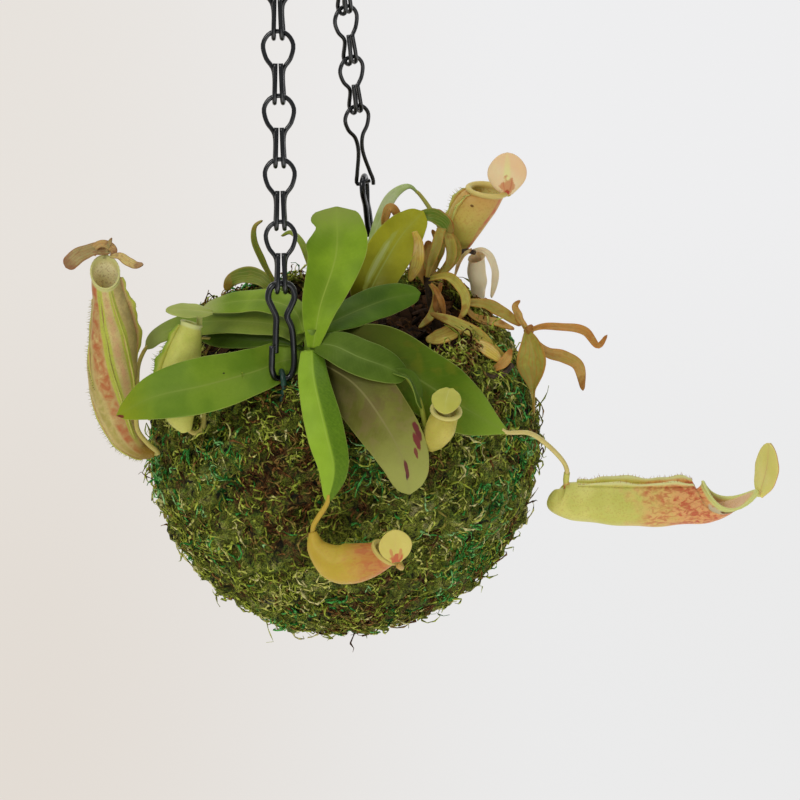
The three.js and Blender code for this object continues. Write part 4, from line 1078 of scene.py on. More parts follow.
def chip_shape(place, size, spin, tone):
    """A splinter of bark: an uneven block with six sides, turned by the angles of spin."""
    rng = np.random.default_rng(int(tone * 1e6))
    angles = np.arange(CHIP_SIDES) / CHIP_SIDES * 2 * math.pi
    angles = angles + rng.uniform(-0.3, 0.3, CHIP_SIDES)
    rings = []
    for along, width in CHIP_SECTION:
        reach = width * rng.uniform(0.75, 1.1, CHIP_SIDES) * 0.5
        ring = [np.full(CHIP_SIDES, along), reach * np.cos(angles), reach * np.sin(angles)]
        rings.append(np.stack(ring, axis=1) * size)
    cx, sx, cy, sy, cz, sz = (f(a) for a in spin for f in (math.cos, math.sin))
    turn = (
        np.array([[cz, -sz, 0], [sz, cz, 0], [0, 0, 1]])
        @ np.array([[cy, 0, sy], [0, 1, 0], [-sy, 0, cy]])
        @ np.array([[1, 0, 0], [0, cx, -sx], [0, sx, cx]])
    )
    return rings_shape(np.array(rings) @ turn.T + place, tone=np.full(len(rings), tone))


def chips_shape():
    """Chips of bark strewn over the opening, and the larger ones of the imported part."""
    rng = np.random.default_rng(CHIPS_SEED)
    shapes = []
    for at in range(LARGE_CHIPS):
        turn, out = at * GOLDEN_TURN, 6 + 34 * math.sqrt((at + 0.5) / LARGE_CHIPS)
        y = out * math.sin(turn)
        place = [out * math.cos(turn), y, RIM_HEIGHT - 3 + RIM_SLOPE * y]
        spin = (0.5 * math.sin(at * 1.7), 0.45 * math.sin(at * 2.9), at * 1.1)
        shapes.append(chip_shape(place, [7 + at % 4, 5 + at % 3, 3.4], spin, rng.random()))
    for _ in range(CHIPS):
        turn, out = rng.uniform(0, 2 * math.pi), OPENING * math.sqrt(rng.random())
        y = out * math.sin(turn)
        length = rng.uniform(*CHIP_LENGTHS)
        size = [length, length * rng.uniform(*CHIP_WIDTHS), length * rng.uniform(*CHIP_HEIGHTS)]
        height = SOIL_TOP + RIM_SLOPE * y + rng.uniform(0, 1.5)
        place = [out * math.cos(turn), y, height]
        spin = (rng.uniform(-0.9, 0.9), rng.uniform(-0.8, 0.8), rng.uniform(0, 6.3))
        shapes.append(chip_shape(place, size, spin, rng.random()))
    return joined(shapes)


SLING_BEND = 1.4
SLING_HEIGHT = 9
NECK_OUT = 1.6
NECK_DROP = 3.4
EYE_TURNS = np.radians([200, 150, 100, 50, 0, -50])


def sling_shape():
    """The coated wire with an eye at each end, which runs under the soil."""
    radius = BALL_RADIUS - MOSS_THICKNESS - 2 * SOIL_GAP
    out = unit((BACK_EYE - FRONT_EYE) * [1, 1, 0])

    def eye_loop(eye, way, twist):
        angle = math.radians(twist)
        wide = way * SLING_EYE * np.array([-math.sin(angle), math.cos(angle), 0])
        return [eye + wide * math.cos(a) + UP * (SLING_EYE * math.sin(a) - 0.3) for a in EYE_TURNS]

    below = [
        out * radius * math.cos(a) + UP * radius * math.sin(a)
        for a in np.radians(np.linspace(-150, -30, 11))
    ]
    high = [out * way * (radius - SLING_BEND) + UP * SLING_HEIGHT for way in (-1, 1)]
    neck = [
        eye + out * way * NECK_OUT - UP * (SLING_EYE + NECK_DROP)
        for eye, way in ((FRONT_EYE, -1), (BACK_EYE, 1))
    ]
    route = [
        *eye_loop(FRONT_EYE, -1, FRONT_CLIP_TWIST), neck[0], high[0], *below, high[1], neck[1],
        *reversed(eye_loop(BACK_EYE, 1, BACK_CLIP_TWIST)),
    ]
    return tube(route, SLING_WIRE, 10, samples=5)


# The plant

FRONT_UP = [0, -0.5, 0.85]
MAIN_STEM = [[-8, -37, 30], [-8, -40, 40], [-7, -43, 48], [-6, -43.5, 57]]
BACK_STEM = [[8, -3, 30], [8, -5, 42], [9, -4, 52]]

LEAVES = [
    {
        "name": "leaf_up", "slot": "pale_leaf", "look": "upright",
        "spine": [[-5.9, -46.4, 51.6], [-3, -42.5, 63], [3, -37, 78], [4, -31, 91]],
        "width": 9.3, "face": [[-0.1, -0.95, 0.25]], "outline": "waisted", "cup": 0.12,
        "ripple": 0.4,
    },
    {
        "name": "leaf_front", "slot": "pale_leaf", "look": "front",
        "spine": [
            [-6.4, -46.4, 51], [-5.9, -58, 46], [-3, -70, 33], [-1.5, -73, 23], [-4.1, -73, 12],
        ],
        "width": 5.6, "face": [[0, -0.5, 0.85], [0, -1, 0.2]], "outline": "tongue",
        "cup": -0.04, "fold": -0.16,
        "tendril": [[-7, -73, 7.6], [-8.7, -72.8, 4.8], [-9.1, -73, 3], [-9.2, -73.2, 0.4]],
    },
    {
        "name": "leaf_left", "slot": "leaf", "look": "tipped",
        "spine": [
            [-10, -41.8, 46.8], [-16, -39.6, 45.4], [-23.4, -44.9, 44.8], [-39, -52.6, 44],
            [-55, -52, 41], [-67, -50, 35],
        ],
        "width": 9, "face": [[0, -0.7, 0.7], [-0.1, -0.78, 0.62]], "outline": "tongue",
        "cup": 0.1, "ripple": 0.25,
    },
    {
        "name": "leaf_right_high", "slot": "leaf", "look": "deep",
        "spine": [[-4, -42.4, 56.2], [1, -40, 57.5], [10, -34, 59], [19, -29, 60], [28, -27, 60.4]],
        "width": 5.6, "face": [[-0.2, -0.6, 0.75], [0.1, -0.75, 0.6]], "outline": "broad",
        "ripple": 0.3, "seed": 2,
    },
    {
        "name": "leaf_right_low", "slot": "leaf", "look": "fresh",
        "spine": [
            [-4.2, -45.6, 52.6], [1, -50, 53], [8, -54, 50.5], [16, -56, 47.5], [22, -56.5, 44],
        ],
        "width": 6, "face": [[0, -0.7, 0.7], [0.3, -0.7, 0.6]], "outline": "broad", "cup": 0.06,
        "folded": [[18, -56.2, 46], [22.4, -57, 44.2], [24.6, -58.2, 39.7], [25.6, -59.6, 35]],
        "tendril": [[25, -58, 38], [26.4, -60, 30], [26.4, -61.2, 24.5], [27.4, -61.8, 22.6]],
    },
    {
        "name": "leaf_brown", "slot": "olive_leaf", "look": "olive",
        "spine": [
            [-5.2, -45.8, 47.4], [6.4, -56.6, 42.6], [14, -63, 33], [19.2, -66, 21.6],
            [20.6, -67, 10.4],
        ],
        "width": 9.2, "face": [[-0.1, -0.7, 0.7], [0.1, -0.97, 0.2]], "outline": "lance",
        "cup": 0.08, "ripple": 0.2,
    },
    {
        "name": "leaf_right_big", "slot": "leaf", "look": "big",
        "spine": [
            [-4.4, -43.2, 50], [13, -45, 48], [25, -50, 41], [35, -52, 34], [45, -50, 26],
            [52, -47, 20],
        ],
        "width": 10.3, "face": [[0, -0.7, 0.7], [0.35, -0.8, 0.5]], "outline": "pointed",
        "cup": 0.08, "ripple": 0.3,
        "tendril": [
            [59, -44, 18], [65, -40.5, 12], [70, -38.4, 5], [71.2, -37.6, 1.5], [70.9, -37, -2.6],
        ],
    },
    {
        "name": "leaf_left_high", "slot": "leaf", "look": "light",
        "spine": [
            [-8.6, -42.4, 55.4], [-11, -37, 60.4], [-18, -32, 62.4], [-29, -26, 61],
            [-40.6, -22, 58.4],
        ],
        "width": 4.8, "face": [FRONT_UP], "outline": "broad", "ripple": 0.3, "seed": 3,
    },
    {
        "name": "leaf_left_mid", "slot": "leaf", "look": "shaded",
        "spine": [
            [-8.8, -41.6, 52.6], [-15, -36, 55.2], [-29, -28, 55.2], [-45, -22, 53.2],
            [-56, -20, 49.4], [-60.6, -20, 45],
        ],
        "width": 5.2, "face": [FRONT_UP], "outline": "broad", "ripple": 0.3, "seed": 4,
        "tendril": [
            [-62.6, -23, 41.6], [-63, -30, 37], [-63.4, -35.4, 30], [-63.4, -36.8, 24.4],
            [-60.8, -36.8, 19.6], [-58.4, -36, 16.4], [-58.2, -34.9, 15.2], [-60.4, -34.6, 15.1],
        ],
    },
    {
        "name": "leaf_left_low", "slot": "leaf", "look": "dim",
        "spine": [[-9.2, -41.4, 49.6], [-16, -36, 50.8], [-29, -29, 49.9], [-42, -25.4, 49.2]],
        "width": 4.1, "face": [FRONT_UP], "seed": 5,
        "tendril": [
            [-44, -27.4, 47], [-43.4, -33, 41], [-42, -39, 34], [-42, -44.6, 27],
            [-44.6, -44.4, 25.2], [-47.4, -43.8, 27],
        ],
    },
    {
        "name": "leaf_back_glossy", "slot": "pale_leaf", "look": "glossy",
        "spine": [[9.8, -6.8, 49], [12.6, -9, 57], [18, -5, 65], [24, 0, 72], [31, 3, 78]],
        "width": 7.6, "face": [[-0.2, -0.9, 0.4]], "outline": "broad", "cup": 0.3,
    },
    {
        "name": "leaf_back_arched", "slot": "leaf", "look": "pale",
        "spine": [
            [9.6, -1.6, 49], [11, 8, 58], [16, 14, 71.4], [21.6, 20, 79.6], [27, 22, 81.6],
            [30, 22, 79],
        ],
        "width": 2.1, "face": [[-0.6, -0.5, 0.6], [0.4, -0.3, 0.85]],
        "tendril": [[34, 20, 73], [37.4, 18.4, 65], [39.4, 18, 59.6], [41.2, 18, 59.4]],
    },
]

WING_ANGLE = 0.42

# Each ring of a pitcher: [x, y, z, half width towards the front, half width across, tilt].
# Each wing: [angle, from, to, height, length of its hairs, gap between them].
PITCHERS = [
    {
        "name": "pitcher_front", "slot": "amber_pitcher", "front": [-0.2, -0.35, 0.9], "lip": 1.1,
        "rings": [
            [-9.2, -73, 2.6, 1.3, 1.3, 0], [-8, -74.2, -2.2, 3.3, 3.1, 0],
            [-3.4, -76, -6.2, 5.8, 5.5, 0], [1.4, -77, -6.8, 6.5, 5.8, 0],
            [6.8, -77.4, -5.6, 5.7, 5.1, 6], [12.2, -77.4, -3.6, 4.7, 4, 28],
        ],
        "neck": [[16.8, -79.4, -7.8], [15.9, -81.6, -6]],
        "lid": {
            "spine": [[15.4, -82.2, -4.4], [15.4, -82.6, 1.6], [15.2, -82.6, 6.4]],
            "width": 4.9, "face": [[0.1, -0.98, 0.2]],
        },
    },
    {
        "name": "pitcher_small_right", "slot": "pitcher", "front": [-0.4, -0.85, 0.2], "lip": 1.4,
        "rings": [
            [27.4, -62, 22.4, 1.2, 1.2, 0], [28.8, -62, 25, 3.6, 3.6, 0],
            [31, -61.6, 29, 4.6, 4.5, 0], [33, -61, 34, 4, 4, 25],
        ],
        "neck": [[35, -57.2, 37], [34.6, -57.2, 39.4]],
        "lid": {
            "spine": [[34.6, -57.2, 39.9], [33.2, -62.6, 38.2], [32.4, -66, 35.4]],
            "width": 4.4, "face": [[0, -0.6, 0.8], [0, -0.7, 0.7]],
        },
    },
    {
        "name": "pitcher_right", "slot": "pitcher", "front": [0, 0, 1], "floor": 0.22, "saddle": 6,
        "rings": [
            [66.4, -37, -7, 2.2, 2.1, 0], [68.2, -37, -8.6, 5, 4.6, 0],
            [72.6, -37, -9.6, 6.2, 5.7, 0], [81, -37, -11, 6.8, 6.2, 0],
            [96, -37, -12.7, 7.2, 6.4, 0], [109, -37, -13.1, 6.9, 6, 8],
            [117, -37, -12.9, 7.3, 5.4, 25], [123.5, -37, -8.4, 8.9, 4.5, 41],
        ],
        "stub": [[71.2, -37.4, 0.6], [70.9, -37, -2.4], [71.2, -37, -6]],
        "wings": [[-0.25, 0.3, 0.93, 2.2, 1.1, 0.8], [0.25, 0.3, 0.93, 1.8, 0.9, 0.8]],
        "neck": [[132.9, -37, -11.6], [133.6, -37, -10.4]],
        "lid": {
            "spine": [[133, -37, -12], [135.2, -37, -3.1], [136.1, -37, 6.2]],
            "width": 5.2, "face": [[-0.85, -0.5, 0.2]],
        },
    },
    {
        "name": "pitcher_back", "slot": "pitcher", "front": [-0.8, -0.2, 0.55], "lip": 1.8,
        "rings": [
            [41, 18, 58, 1.6, 1.6, 0], [42, 18, 62, 4.4, 3.8, 0], [45, 18, 69, 6.4, 5.6, 0],
            [49, 18, 75.2, 6.9, 6.1, 8], [52.6, 18, 79.2, 6.2, 5.4, 32],
        ],
        "wings": [[-0.5, 0.3, 0.95, 1.2, 1.6, 0.9], [0.5, 0.3, 0.95, 1.2, 1.6, 0.9]],
        "neck": [[59.8, 17.6, 78], [59.8, 16, 80.4]],
        "lid": {
            "spine": [[59, 15.8, 78.4], [59.3, 15, 85.2], [59.6, 15.4, 92.6]],
            "width": 6.4, "face": [[0, -0.97, 0.22]], "cup": -0.1,
        },
    },
    {
        "name": "pitcher_small_left", "slot": "pitcher", "front": [-0.8, -0.58, 0.1], "lip": 0.8,
        "rings": [
            [-47.4, -43.6, 26, 1.8, 1.8, 0], [-48.6, -43.6, 31, 4.6, 4.4, 0],
            [-48.6, -42, 40, 6, 5.8, 0], [-45.8, -39.6, 50, 5.2, 4.9, 5],
            [-42.9, -37.8, 58.6, 3.1, 2.8, -4],
        ],
        "wings": [[-0.62, 0.3, 0.97, 2.2, 1.7, 0.55]],
        "neck": [[-40.4, -35.6, 60.4], [-41, -36.4, 62.4]],
        "lid": {
            "spine": [[-36.2, -36.4, 61.6], [-42.8, -38, 63.2], [-50, -39.4, 64.2]],
            "width": 3.7, "face": [[0, -0.3, 0.95]],
        },
    },
    {
        "name": "pitcher_left", "slot": "pitcher", "front": [0.15, -1, 0], "lip": 0.5,
        "twist": [[0, 1.3], [0.4, 0.95], [0.56, 0.45], [0.76, -0.02], [0.9, -0.14], [1, -0.18]],
        "rings": [
            [-59.3, -34.6, 15, 1.3, 1.3, 0], [-63.9, -34, 16, 2.9, 2.9, 0],
            [-68.6, -32.4, 21.4, 4.7, 4.8, 0], [-70.7, -30.4, 31, 6.3, 6.5, 0],
            [-70.3, -28.4, 43, 7.4, 7.8, 0], [-68.9, -27, 55, 6.6, 6.9, 0],
            [-69, -26.6, 65, 5.6, 5.1, 12], [-69, -27, 73.6, 5.8, 4.3, 42],
        ],
        "wings": [
            [-WING_ANGLE, 0.22, 0.97, 0.5, 0.5, 2.2], [WING_ANGLE, 0.22, 0.97, 0.5, 0.5, 2.6],
            [-2.2, 0.1, 0.5, 0.5, 1.4, 0.6], [-1.5, 0.5, 0.86, 0.4, 1.4, 0.6],
            [1.6, 0.58, 0.97, 2.0, 0.5, 4.0],
        ],
        "neck": [[-69, -22.4, 77.4], [-69, -22.2, 79]],
        "lid": {
            "spine": [
                [-67.4, -23, 79.8], [-71.4, -24, 80.4], [-75.6, -25, 79.6], [-79, -26, 77.6],
                [-81, -26, 75.6],
            ],
            "width": 2.5, "face": [[0, -0.75, 0.65], [-0.1, -0.9, 0.4]], "outline": "full",
            "ripple": 0.4,
        },
        "lobes": [
            {
                "spine": [
                    [-72.6, -23.6, 78.4], [-71.4, -24, 81.2], [-69, -24, 82], [-66.6, -23.6, 80.4],
                    [-66, -23, 78],
                ],
                "width": 1.3, "face": [[0, -0.9, 0.4]], "outline": "full", "ripple": 0.2,
                "tone": 0.4,
            },
            {
                "spine": [[-68.4, -24, 79], [-67.6, -24, 81], [-66.2, -24, 83.6]],
                "width": 0.7, "face": [[0, -0.9, 0.4]], "outline": "slender",
            },
            {
                "spine": [
                    [-67.4, -23.4, 77.8], [-64.4, -24, 77.6], [-61.6, -24.4, 75.6],
                    [-59.6, -24, 74.4], [-57.4, -24, 74.6],
                ],
                "width": 1.5, "face": [[0.1, -0.8, 0.6]], "outline": "slender", "ripple": 0.3,
                "tone": 0.9,
            },
        ],
    },
]

SIDE_STEM = [[34, -2, 28], [33, -2, 40], [31.6, -1, 50], [31, 1, 57]]
# Each small leaf: [its spine, its half width], and its outline where that isn't the slender one.
# The last two are small bits behind the rosette.
SIDE_LEAVES = [
    [[[30.6, 1, 54], [27, 0, 63], [28, 0, 72]], 2.2],
    [[[30.6, 2, 55], [32, 6, 60], [32, 7, 67]], 2.6],
    [[[31, 2, 55], [34, 6, 59], [36, 8, 64], [33.5, 9, 70]], 1.6],
    [[[31, 1.6, 54.6], [37, 5, 57], [41, 8, 62], [39.4, 9, 67], [36, 9, 70]], 1.9],
    [[[30.8, -1, 57], [32, 0, 61.1], [33.9, 1, 65.4], [36.2, 2, 71.4], [38.4, 6, 71.6]], 1.7],
    [[[31, 0, 56], [38, -3, 57], [42.4, -6, 52], [42.4, -9, 48], [40, -11, 45]], 1.7],
    [[[31.4, 0, 55], [33.4, -4, 52], [32, -8, 47], [27, -12, 43.4]], 1.5],
    [
        [[55.6, -21, 31.6], [46.7, -18, 41], [40.8, -16, 44.7], [35.3, -14, 47.1], [30.9, -12, 48.2]],
        2.0,
    ],
    [[[42, -12.6, 43], [36.4, -15.6, 41.8], [29, -16, 40.6]], 2.8],
    [[[42.2, -7.6, 49.6], [49, -5, 47.6], [55, -6, 44.6], [60.4, -7.6, 40.6]], 2.1],
    [[[42.2, -8.6, 48.4], [46, -8, 44], [52, -8, 42.4], [58, -10, 40.4]], 1.5],
    [[[35.5, 2, 56.1], [38.3, 3, 59], [39.5, 4, 63.5], [37.8, 4, 70.3], [35, 6, 71]], 1.8],
    [[[31.9, -4, 55.6], [34.8, -8, 51.2], [35.6, -10, 46.2]], 1.0],
    [[[35.3, 0, 54.4], [33.1, -7, 49.6], [34.1, -9, 44.8]], 1.1],
    [[[43, -19, 41], [48.2, -23, 38.6], [53, -24, 34.6]], 2.1],
    [[[48.6, -25, 32], [52.9, -25, 34.3], [56, -22, 38]], 1.6],
    [[[40.2, 6, 54.8], [42.6, 9, 59.6], [46.4, 11, 62]], 0.8],
    [[[33, 8, 77], [36.4, 10, 74.8], [39.5, 9, 71.5], [40, 8, 68.4]], 1.3],
    [[[17.8, 8, 70], [18.6, 8, 75.6], [20.2, 8, 78.4], [22, 8, 77], [22.8, 8, 72.6]], 1.5],
    [[[27.4, -4, 73.6], [28.4, -5, 68.3], [27.2, -6, 62.7], [25, -6, 57.6]], 2.1],
]
SIDE_TONES = [
    0.3, 0.35, 0.5, 0.55, 0.46, 0.62, 0.58, 0.6, 0.76, 0.4, 0.28, 0.5, 0.12, 0.06, 0.86, 0.2, 0.98,
    0.1, 0.2, 0.82,
]
CURLED_STEM = [
    [36.1, -21, 40], [40.4, -25, 35.6], [47, -28, 32.2], [52, -27, 31.4], [56, -24, 33.4],
]
DEAD_TWIG = [[39.6, 7, 60.4], [44, 11, 61.4], [47.4, 13.4, 59.8]]
STAR_CENTRE = [62.4, -8.4, 38.8]
STAR_HEART = [[61.4, -8.4, 39.4], STAR_CENTRE, [64, -8.4, 40.8]]
# Each arm of the star starts at its centre.
STAR_ARMS = [
    [[[59.8, -9, 43.7], [58.6, -9.2, 48], [60.2, -9.4, 49.9]], 1.3],
    [[[67, -10, 40.4], [73.4, -11, 40.3], [80.8, -12, 38.6], [85, -12, 33.6], [87.9, -12, 37.1]], 1.5],
    [[[63.1, -12, 35.3], [63.2, -15, 29.4], [63, -17, 22], [62.8, -17.5, 13.4]], 4.8, "spear"],
    [[[65.2, -7, 33.4], [69.4, -6, 29.4], [74.2, -6, 28], [78.8, -6.6, 25], [80.3, -7, 16.2]], 2.1],
]
BACK_SHOOT_STEMS = [
    [[-18, 19, 30], [-18.4, 18.6, 42], [-19, 19, 50]],
    [[-13, 8, 30], [-11, 6, 44], [-7, 3, 56]],
]
BACK_SHOOT_LEAVES = [
    [[[-19, 19.4, 46], [-24, 22, 51.4], [-30.4, 26, 52.6], [-35.6, 28, 50.8], [-38, 28, 47.4]], 3.2],
    [
        [[-19, 18.6, 48.6], [-23.6, 18, 59.8], [-25.8, 18, 67.6], [-25, 18, 72.4], [-22.4, 18, 74.2]],
        1.15,
    ],
    [[[-7.4, 3.4, 54], [-7, 2, 62], [-9.6, 5, 70], [-13, 8, 72.4], [-16, 9, 71]], 1.1],
    [[[27, 4, 73.6], [30, 4, 75.8], [34, 4, 75.8], [37.6, 4, 73.3], [39.8, 4, 69.9]], 2.5],
]

DEAD_PITCHER = {
    "front": [-0.5, -0.85, 0],
    "rings": [
        [48.6, 14.4, 43, 1.6, 1.5, 0], [48.4, 14.4, 47, 2.8, 2.6, 0], [48, 14.4, 52, 3.2, 3, 0],
        [48, 14.4, 57.6, 3, 2.7, 20],
    ],
    "neck": [[49.8, 16.6, 59.6], [51.2, 16, 59.4]],
    "lid": {
        "spine": [
            [46.8, 15.4, 60], [49.9, 14.6, 60.2], [53.2, 14, 56.6], [53.9, 14, 50], [52.4, 14, 43.4],
        ],
        "width": 1.5, "face": [[0.5, -0.7, 0.5]],
    },
}


def small_leaves(leaves, tones, ripple=0.35):
    """The leaves of the small shoots, each with its own tone and curl."""
    shapes = []
    for at, (spine, width, *outline) in enumerate(leaves):
        face = [[0.3 * math.sin(at * 2.1), -0.8, 0.6], [0.3 * math.cos(at * 1.3), -0.7, 0.7]]
        shapes.append(
            blade(
                spine, width, face, *(outline or ["slender"]), cup=0.25, fold=0.18, ripple=ripple,
                seed=at + 1, thickness=SMALL_LEAF_THICKNESS, rib=0.2, rows=48, columns=13,
                tone=tones[at],
            )
        )
    return joined(shapes)


STEM_NODES = 5


def stem_shape(points, radius):
    """A stem that swells where each leaf has grown from it."""
    swell = []
    for t in np.linspace(0, 1, 8 * STEM_NODES + 1):
        node = max(0, math.sin(t * STEM_NODES * 2 * math.pi)) ** 3
        swell.append([t, radius * (0.94 + 0.1 * node)])
    return tube(points, swell, sides=16, samples=14)


LID = {"outline": "oval", "rows": 40, "ripple": 0.15}


def neck_shape(wall, pitcher, **numbers):
    """The stalk of the lid, from the back of the mouth."""
    points = [wall.point(1, math.pi, -0.1).tolist(), *pitcher["neck"]]
    return tube(points, LID_NECK, **numbers)


def make_pitcher(pitcher, look, lid_look, seed):
    """The cup with its wings and neck, and the lid."""
    wall = Wall(
        pitcher["rings"], pitcher["front"], pitcher.get("saddle", 0.0),
        pitcher.get("twist", NO_TWIST),
    )
    cup = cup_shape(wall, pitcher.get("floor", 0.3), lip=pitcher.get("lip", 1.0), seed=seed)
    for at, wing in enumerate(pitcher.get("wings", [])):
        cup = cup + wing_shape(wall, *wing, seed=seed + at)
    cup = cup + neck_shape(wall, pitcher, lip=0.6)
    if "stub" in pitcher:
        cup = cup + tube(pitcher["stub"], TENDRIL + 0.25, 12)
    name = pitcher["name"]
    make(f"{name}_cup", cup, look, pitcher["slot"], name)
    parts = [pitcher["lid"], *pitcher.get("lobes", [])]
    lids = [blade(**{**LID, "seed": seed, **part}) for part in parts]
    make(f"{name}_lid", joined(lids), lid_look, pitcher["slot"])


# Looks

wire = plain_look("black_wire", 0x181A1A, 0x080909, 0.18, size=6, depth=0.03, Coat_Weight=0.3)
coated = plain_look("green_wire", 0x245040, 0x18382C, 0.4, size=5, depth=0.05)
soil_look = plain_look(
    "soil", 0x3A2410, 0x160D06, 0.9, size=3, depth=0.5, streaks=0x5A3C18, Specular_IOR_Level=0.1,
)


def bark_look():
    look = Look("bark", 0.85, Specular_IOR_Level=0.12)
    look.base = look.ramp(
        look.number("tone"), (0.0, 0x1A0F07), (0.4, 0x301E0F), (0.7, 0x4A2E16), (0.9, 0x684222),
        (1.0, 0x945C36),
    )
    grain = look.noise(1.2, 5, 0.6)
    look.paint(0x0E0A07, look.band(grain, 0.45, 0.65), 0.5)
    return look.done(grain, 0.4, 0.7)


def withered_look(name, tones, spot, edge, spots=0.25, tip=0.7):
    """Curled dry leaves, whose colour goes by each leaf's tone."""
    look = Look(name, SATIN, Subsurface_Weight=0.15, Subsurface_Scale=0.003,
                Specular_IOR_Level=0.3, Specular_Tint=PITCHER_GLINT)
    across = look.number("across")
    reach = look.size(across)
    soft = look.swing(5, 3)
    streak = look.sum("PINGPONG", look.plus(look.times(across, 2.6), look.times(soft, 2.0)), 0.5)
    look.base = look.ramp(look.plus(look.number("tone"), look.times(soft, 0.5)), *tones)
    look.paint(spot, look.band(look.noise(2.5, 6, 0.8), 0.52, 0.66), spots)
    look.paint(edge, look.band(streak, 0.3, 0.5), 0.5)
    look.paint(edge, look.band(reach, 0.1, 0.0), 0.35)
    look.paint(edge, look.band(reach, 0.72, 0.96), 0.6)
    look.paint(spot, look.band(look.plus(look.number("along"), soft), 0.8, 1.0), tip)
    return look.done(look.noise(1.6, 5, 1.0), 0.3, 0.45)


LEAF_LOOKS = {
    "upright": leaf_look("leaf_upright", 0x88A826, 0x6E8D1C, 0xA0B548, 0xB4C060, tip=0x8C9B44),
    "front": leaf_look(
        # half lays painted shade over the right half of this blade.
        "leaf_front_pale", 0x9EC038, 0x8AAC2C, 0xA4C048, 0xB4C460, half=0x466A10, tendril=0xD2AE40,
    ),
    "tipped": leaf_look(
        "leaf_tipped", 0x7C9828, 0x64841C, 0x8A9C40, 0xA8B258, tip=0x93A020,
        spots=[
            ((0.985, 0.6), (0.02, 0.35), 0x7A3226, 0.5),
            ((0.42, -0.25), (0.006, 0.03), 0x2A2A1A, 0.0),
        ],
    ),
    "fresh": leaf_look("leaf_fresh", 0x5C7424, 0x465F14, 0x84984A, 0x9CAC52, tendril=0x7C9430),
    "light": leaf_look("leaf_light", 0x8CA632, 0x6E8A24, 0x9CAE4C, 0xB0BC64, tip=0xA8B068),
    "shaded": leaf_look(
        "leaf_shaded", 0x86963A, 0x6A822C, 0x94A44C, 0xA8B664, tip=0x9CA860, tendril=0xC8BC6C,
    ),
    # dim is a darker copy of the leaf greens: painted shade for the low leaf that lies under the
    # others.
    "dim": leaf_look("leaf_dim", 0x4C6618, 0x3A5214, 0x687C38, 0x7C8C44, tendril=0xC8BC6C),
    "deep": leaf_look("leaf_deep", 0x5E7D1E, 0x48681A, 0x7C9040, 0x98A452),
    "olive": leaf_look(
        "leaf_olive", 0x86863C, 0x646224, 0x948C56, 0xA5A650, mottle=0x7A6C3E, tip=0xAAAC58,
        # root: painted shade over the base of the blade.
        tip_start=0.5, root=0x38340A, root_end=0.66,
        spots=[
            ((0.69, 0.84), (0.05, 0.1), 0x6E2C30, 0.6), ((0.735, 0.7), (0.05, 0.1), 0x7A3234, 0.7),
            ((0.78, 0.54), (0.03, 0.07), 0x7E4038, 0.8),
            ((0.86, 0.04), (0.06, 0.08), 0x6C3034, 0.6),
            ((0.9, -0.02), (0.02, 0.04), 0x4E2038, 0.5),
        ],
    ),
    "big": leaf_look(
        "leaf_big", 0x607A16, 0x4A660E, 0x889A44, 0xA4AE58, mottle=0x687416, tip=0x8CAA34,
        # root: painted shade over the base of the blade.
        tip_start=0.66, root=0x3E3E0A, root_end=0.6, tendril=0xF0DC90,
    ),
    "glossy": leaf_look(
        # root: painted shade over the base of the blade.
        "leaf_glossy", 0xACA828, 0x928F1C, 0xA8B156, 0xB4B860, roughness=0.26, root=0x5E5C14,
        # These spots are a painted highlight: a pale sheen along the middle of the glossy blade.
        spots=[
            ((0.45, 0.3), (0.3, 0.16), 0xA8AC48, 0.3), ((0.46, 0.3), (0.2, 0.08), 0xB4BA6C, 0.3),
        ],
    ),
    "pale": leaf_look(
        "leaf_pale", 0xC2CC96, 0x9CB060, 0xC8D0A0, 0xC8D0A0, roughness=0.3, tendril=0xB4B860,
    ),
}
PITCHER_LOOKS = {
    "pitcher_front": pitcher_look(
        "pitcher_amber", 0xD6B848, 0xC9AC3C, 0xC9944A, blush=0xD08E48, blush_from=0.5,
        blush_to=0.9, mottle=0xC86E3E, lip=0xD4C068, wing=0xB8AE40, hair=0xB8A84C,
    ),
    "pitcher_small_right": pitcher_look("pitcher_pale", 0xD2C45E, 0xBDB14C, 0xBE9A50, lip=0xDCD07C),
    "pitcher_right": pitcher_look(
        "pitcher_flushed", 0xE6DE7C, 0xD4D068, 0xC4A450, blush=0xF0B070, blush_from=0.46,
        blush_to=0.74, mottle=0xC84C38, lip=0xD8DA88, inside=0xE4BC94, wing=0xE6E29A,
        hair=0xC88E5A,
        spots=[
            ((0.95, 0.5), (0.05, 0.2), 0xDCC8A0, 0.8), ((0.97, 0.55), (0.02, 0.1), 0x7A4A30, 1.0),
        ],
    ),
    "pitcher_back": pitcher_look(
        "pitcher_olive", 0xDCCC64, 0xC4B650, 0xC88C46, blush=0xDCA860, blush_from=0.3,
        blush_to=1.1, lip=0xE0CA78, hair=0xB8A850, dot_size=0.8,
        stripes=[(0.74, 0.08, 0xD0563A, 0.9)],
        spots=[((0.76, 0.34), (0.02, 0.03), 0x7A5428, 0.2)],
    ),
    "pitcher_small_left": pitcher_look(
        "pitcher_cream", 0xDAD870, 0xC4C858, 0xC4B85C, lip=0xD8DA90, wing=0x8EAA34, hair=0x8A9C3C,
    ),
    "pitcher_left": pitcher_look(
        "pitcher_streaked", 0xE2CC86, 0xCDB874, 0xB48E56, lip=0xD4D088, inside=0xF8ECB8,
        wing=0xC8CC58, hair=0xA8A04E, rib=0xC0CA48, low=0x8C6E24,
        stripes=[
            (0.0, 0.06, 0xD89878, 0.6), (-0.29, 0.14, 0xBE6038, 0.9), (-0.5, 0.1, 0xA0963C, 0.7),
            (0.4, 0.24, 0xB09A64, 0.7),
        ],
    ),
}
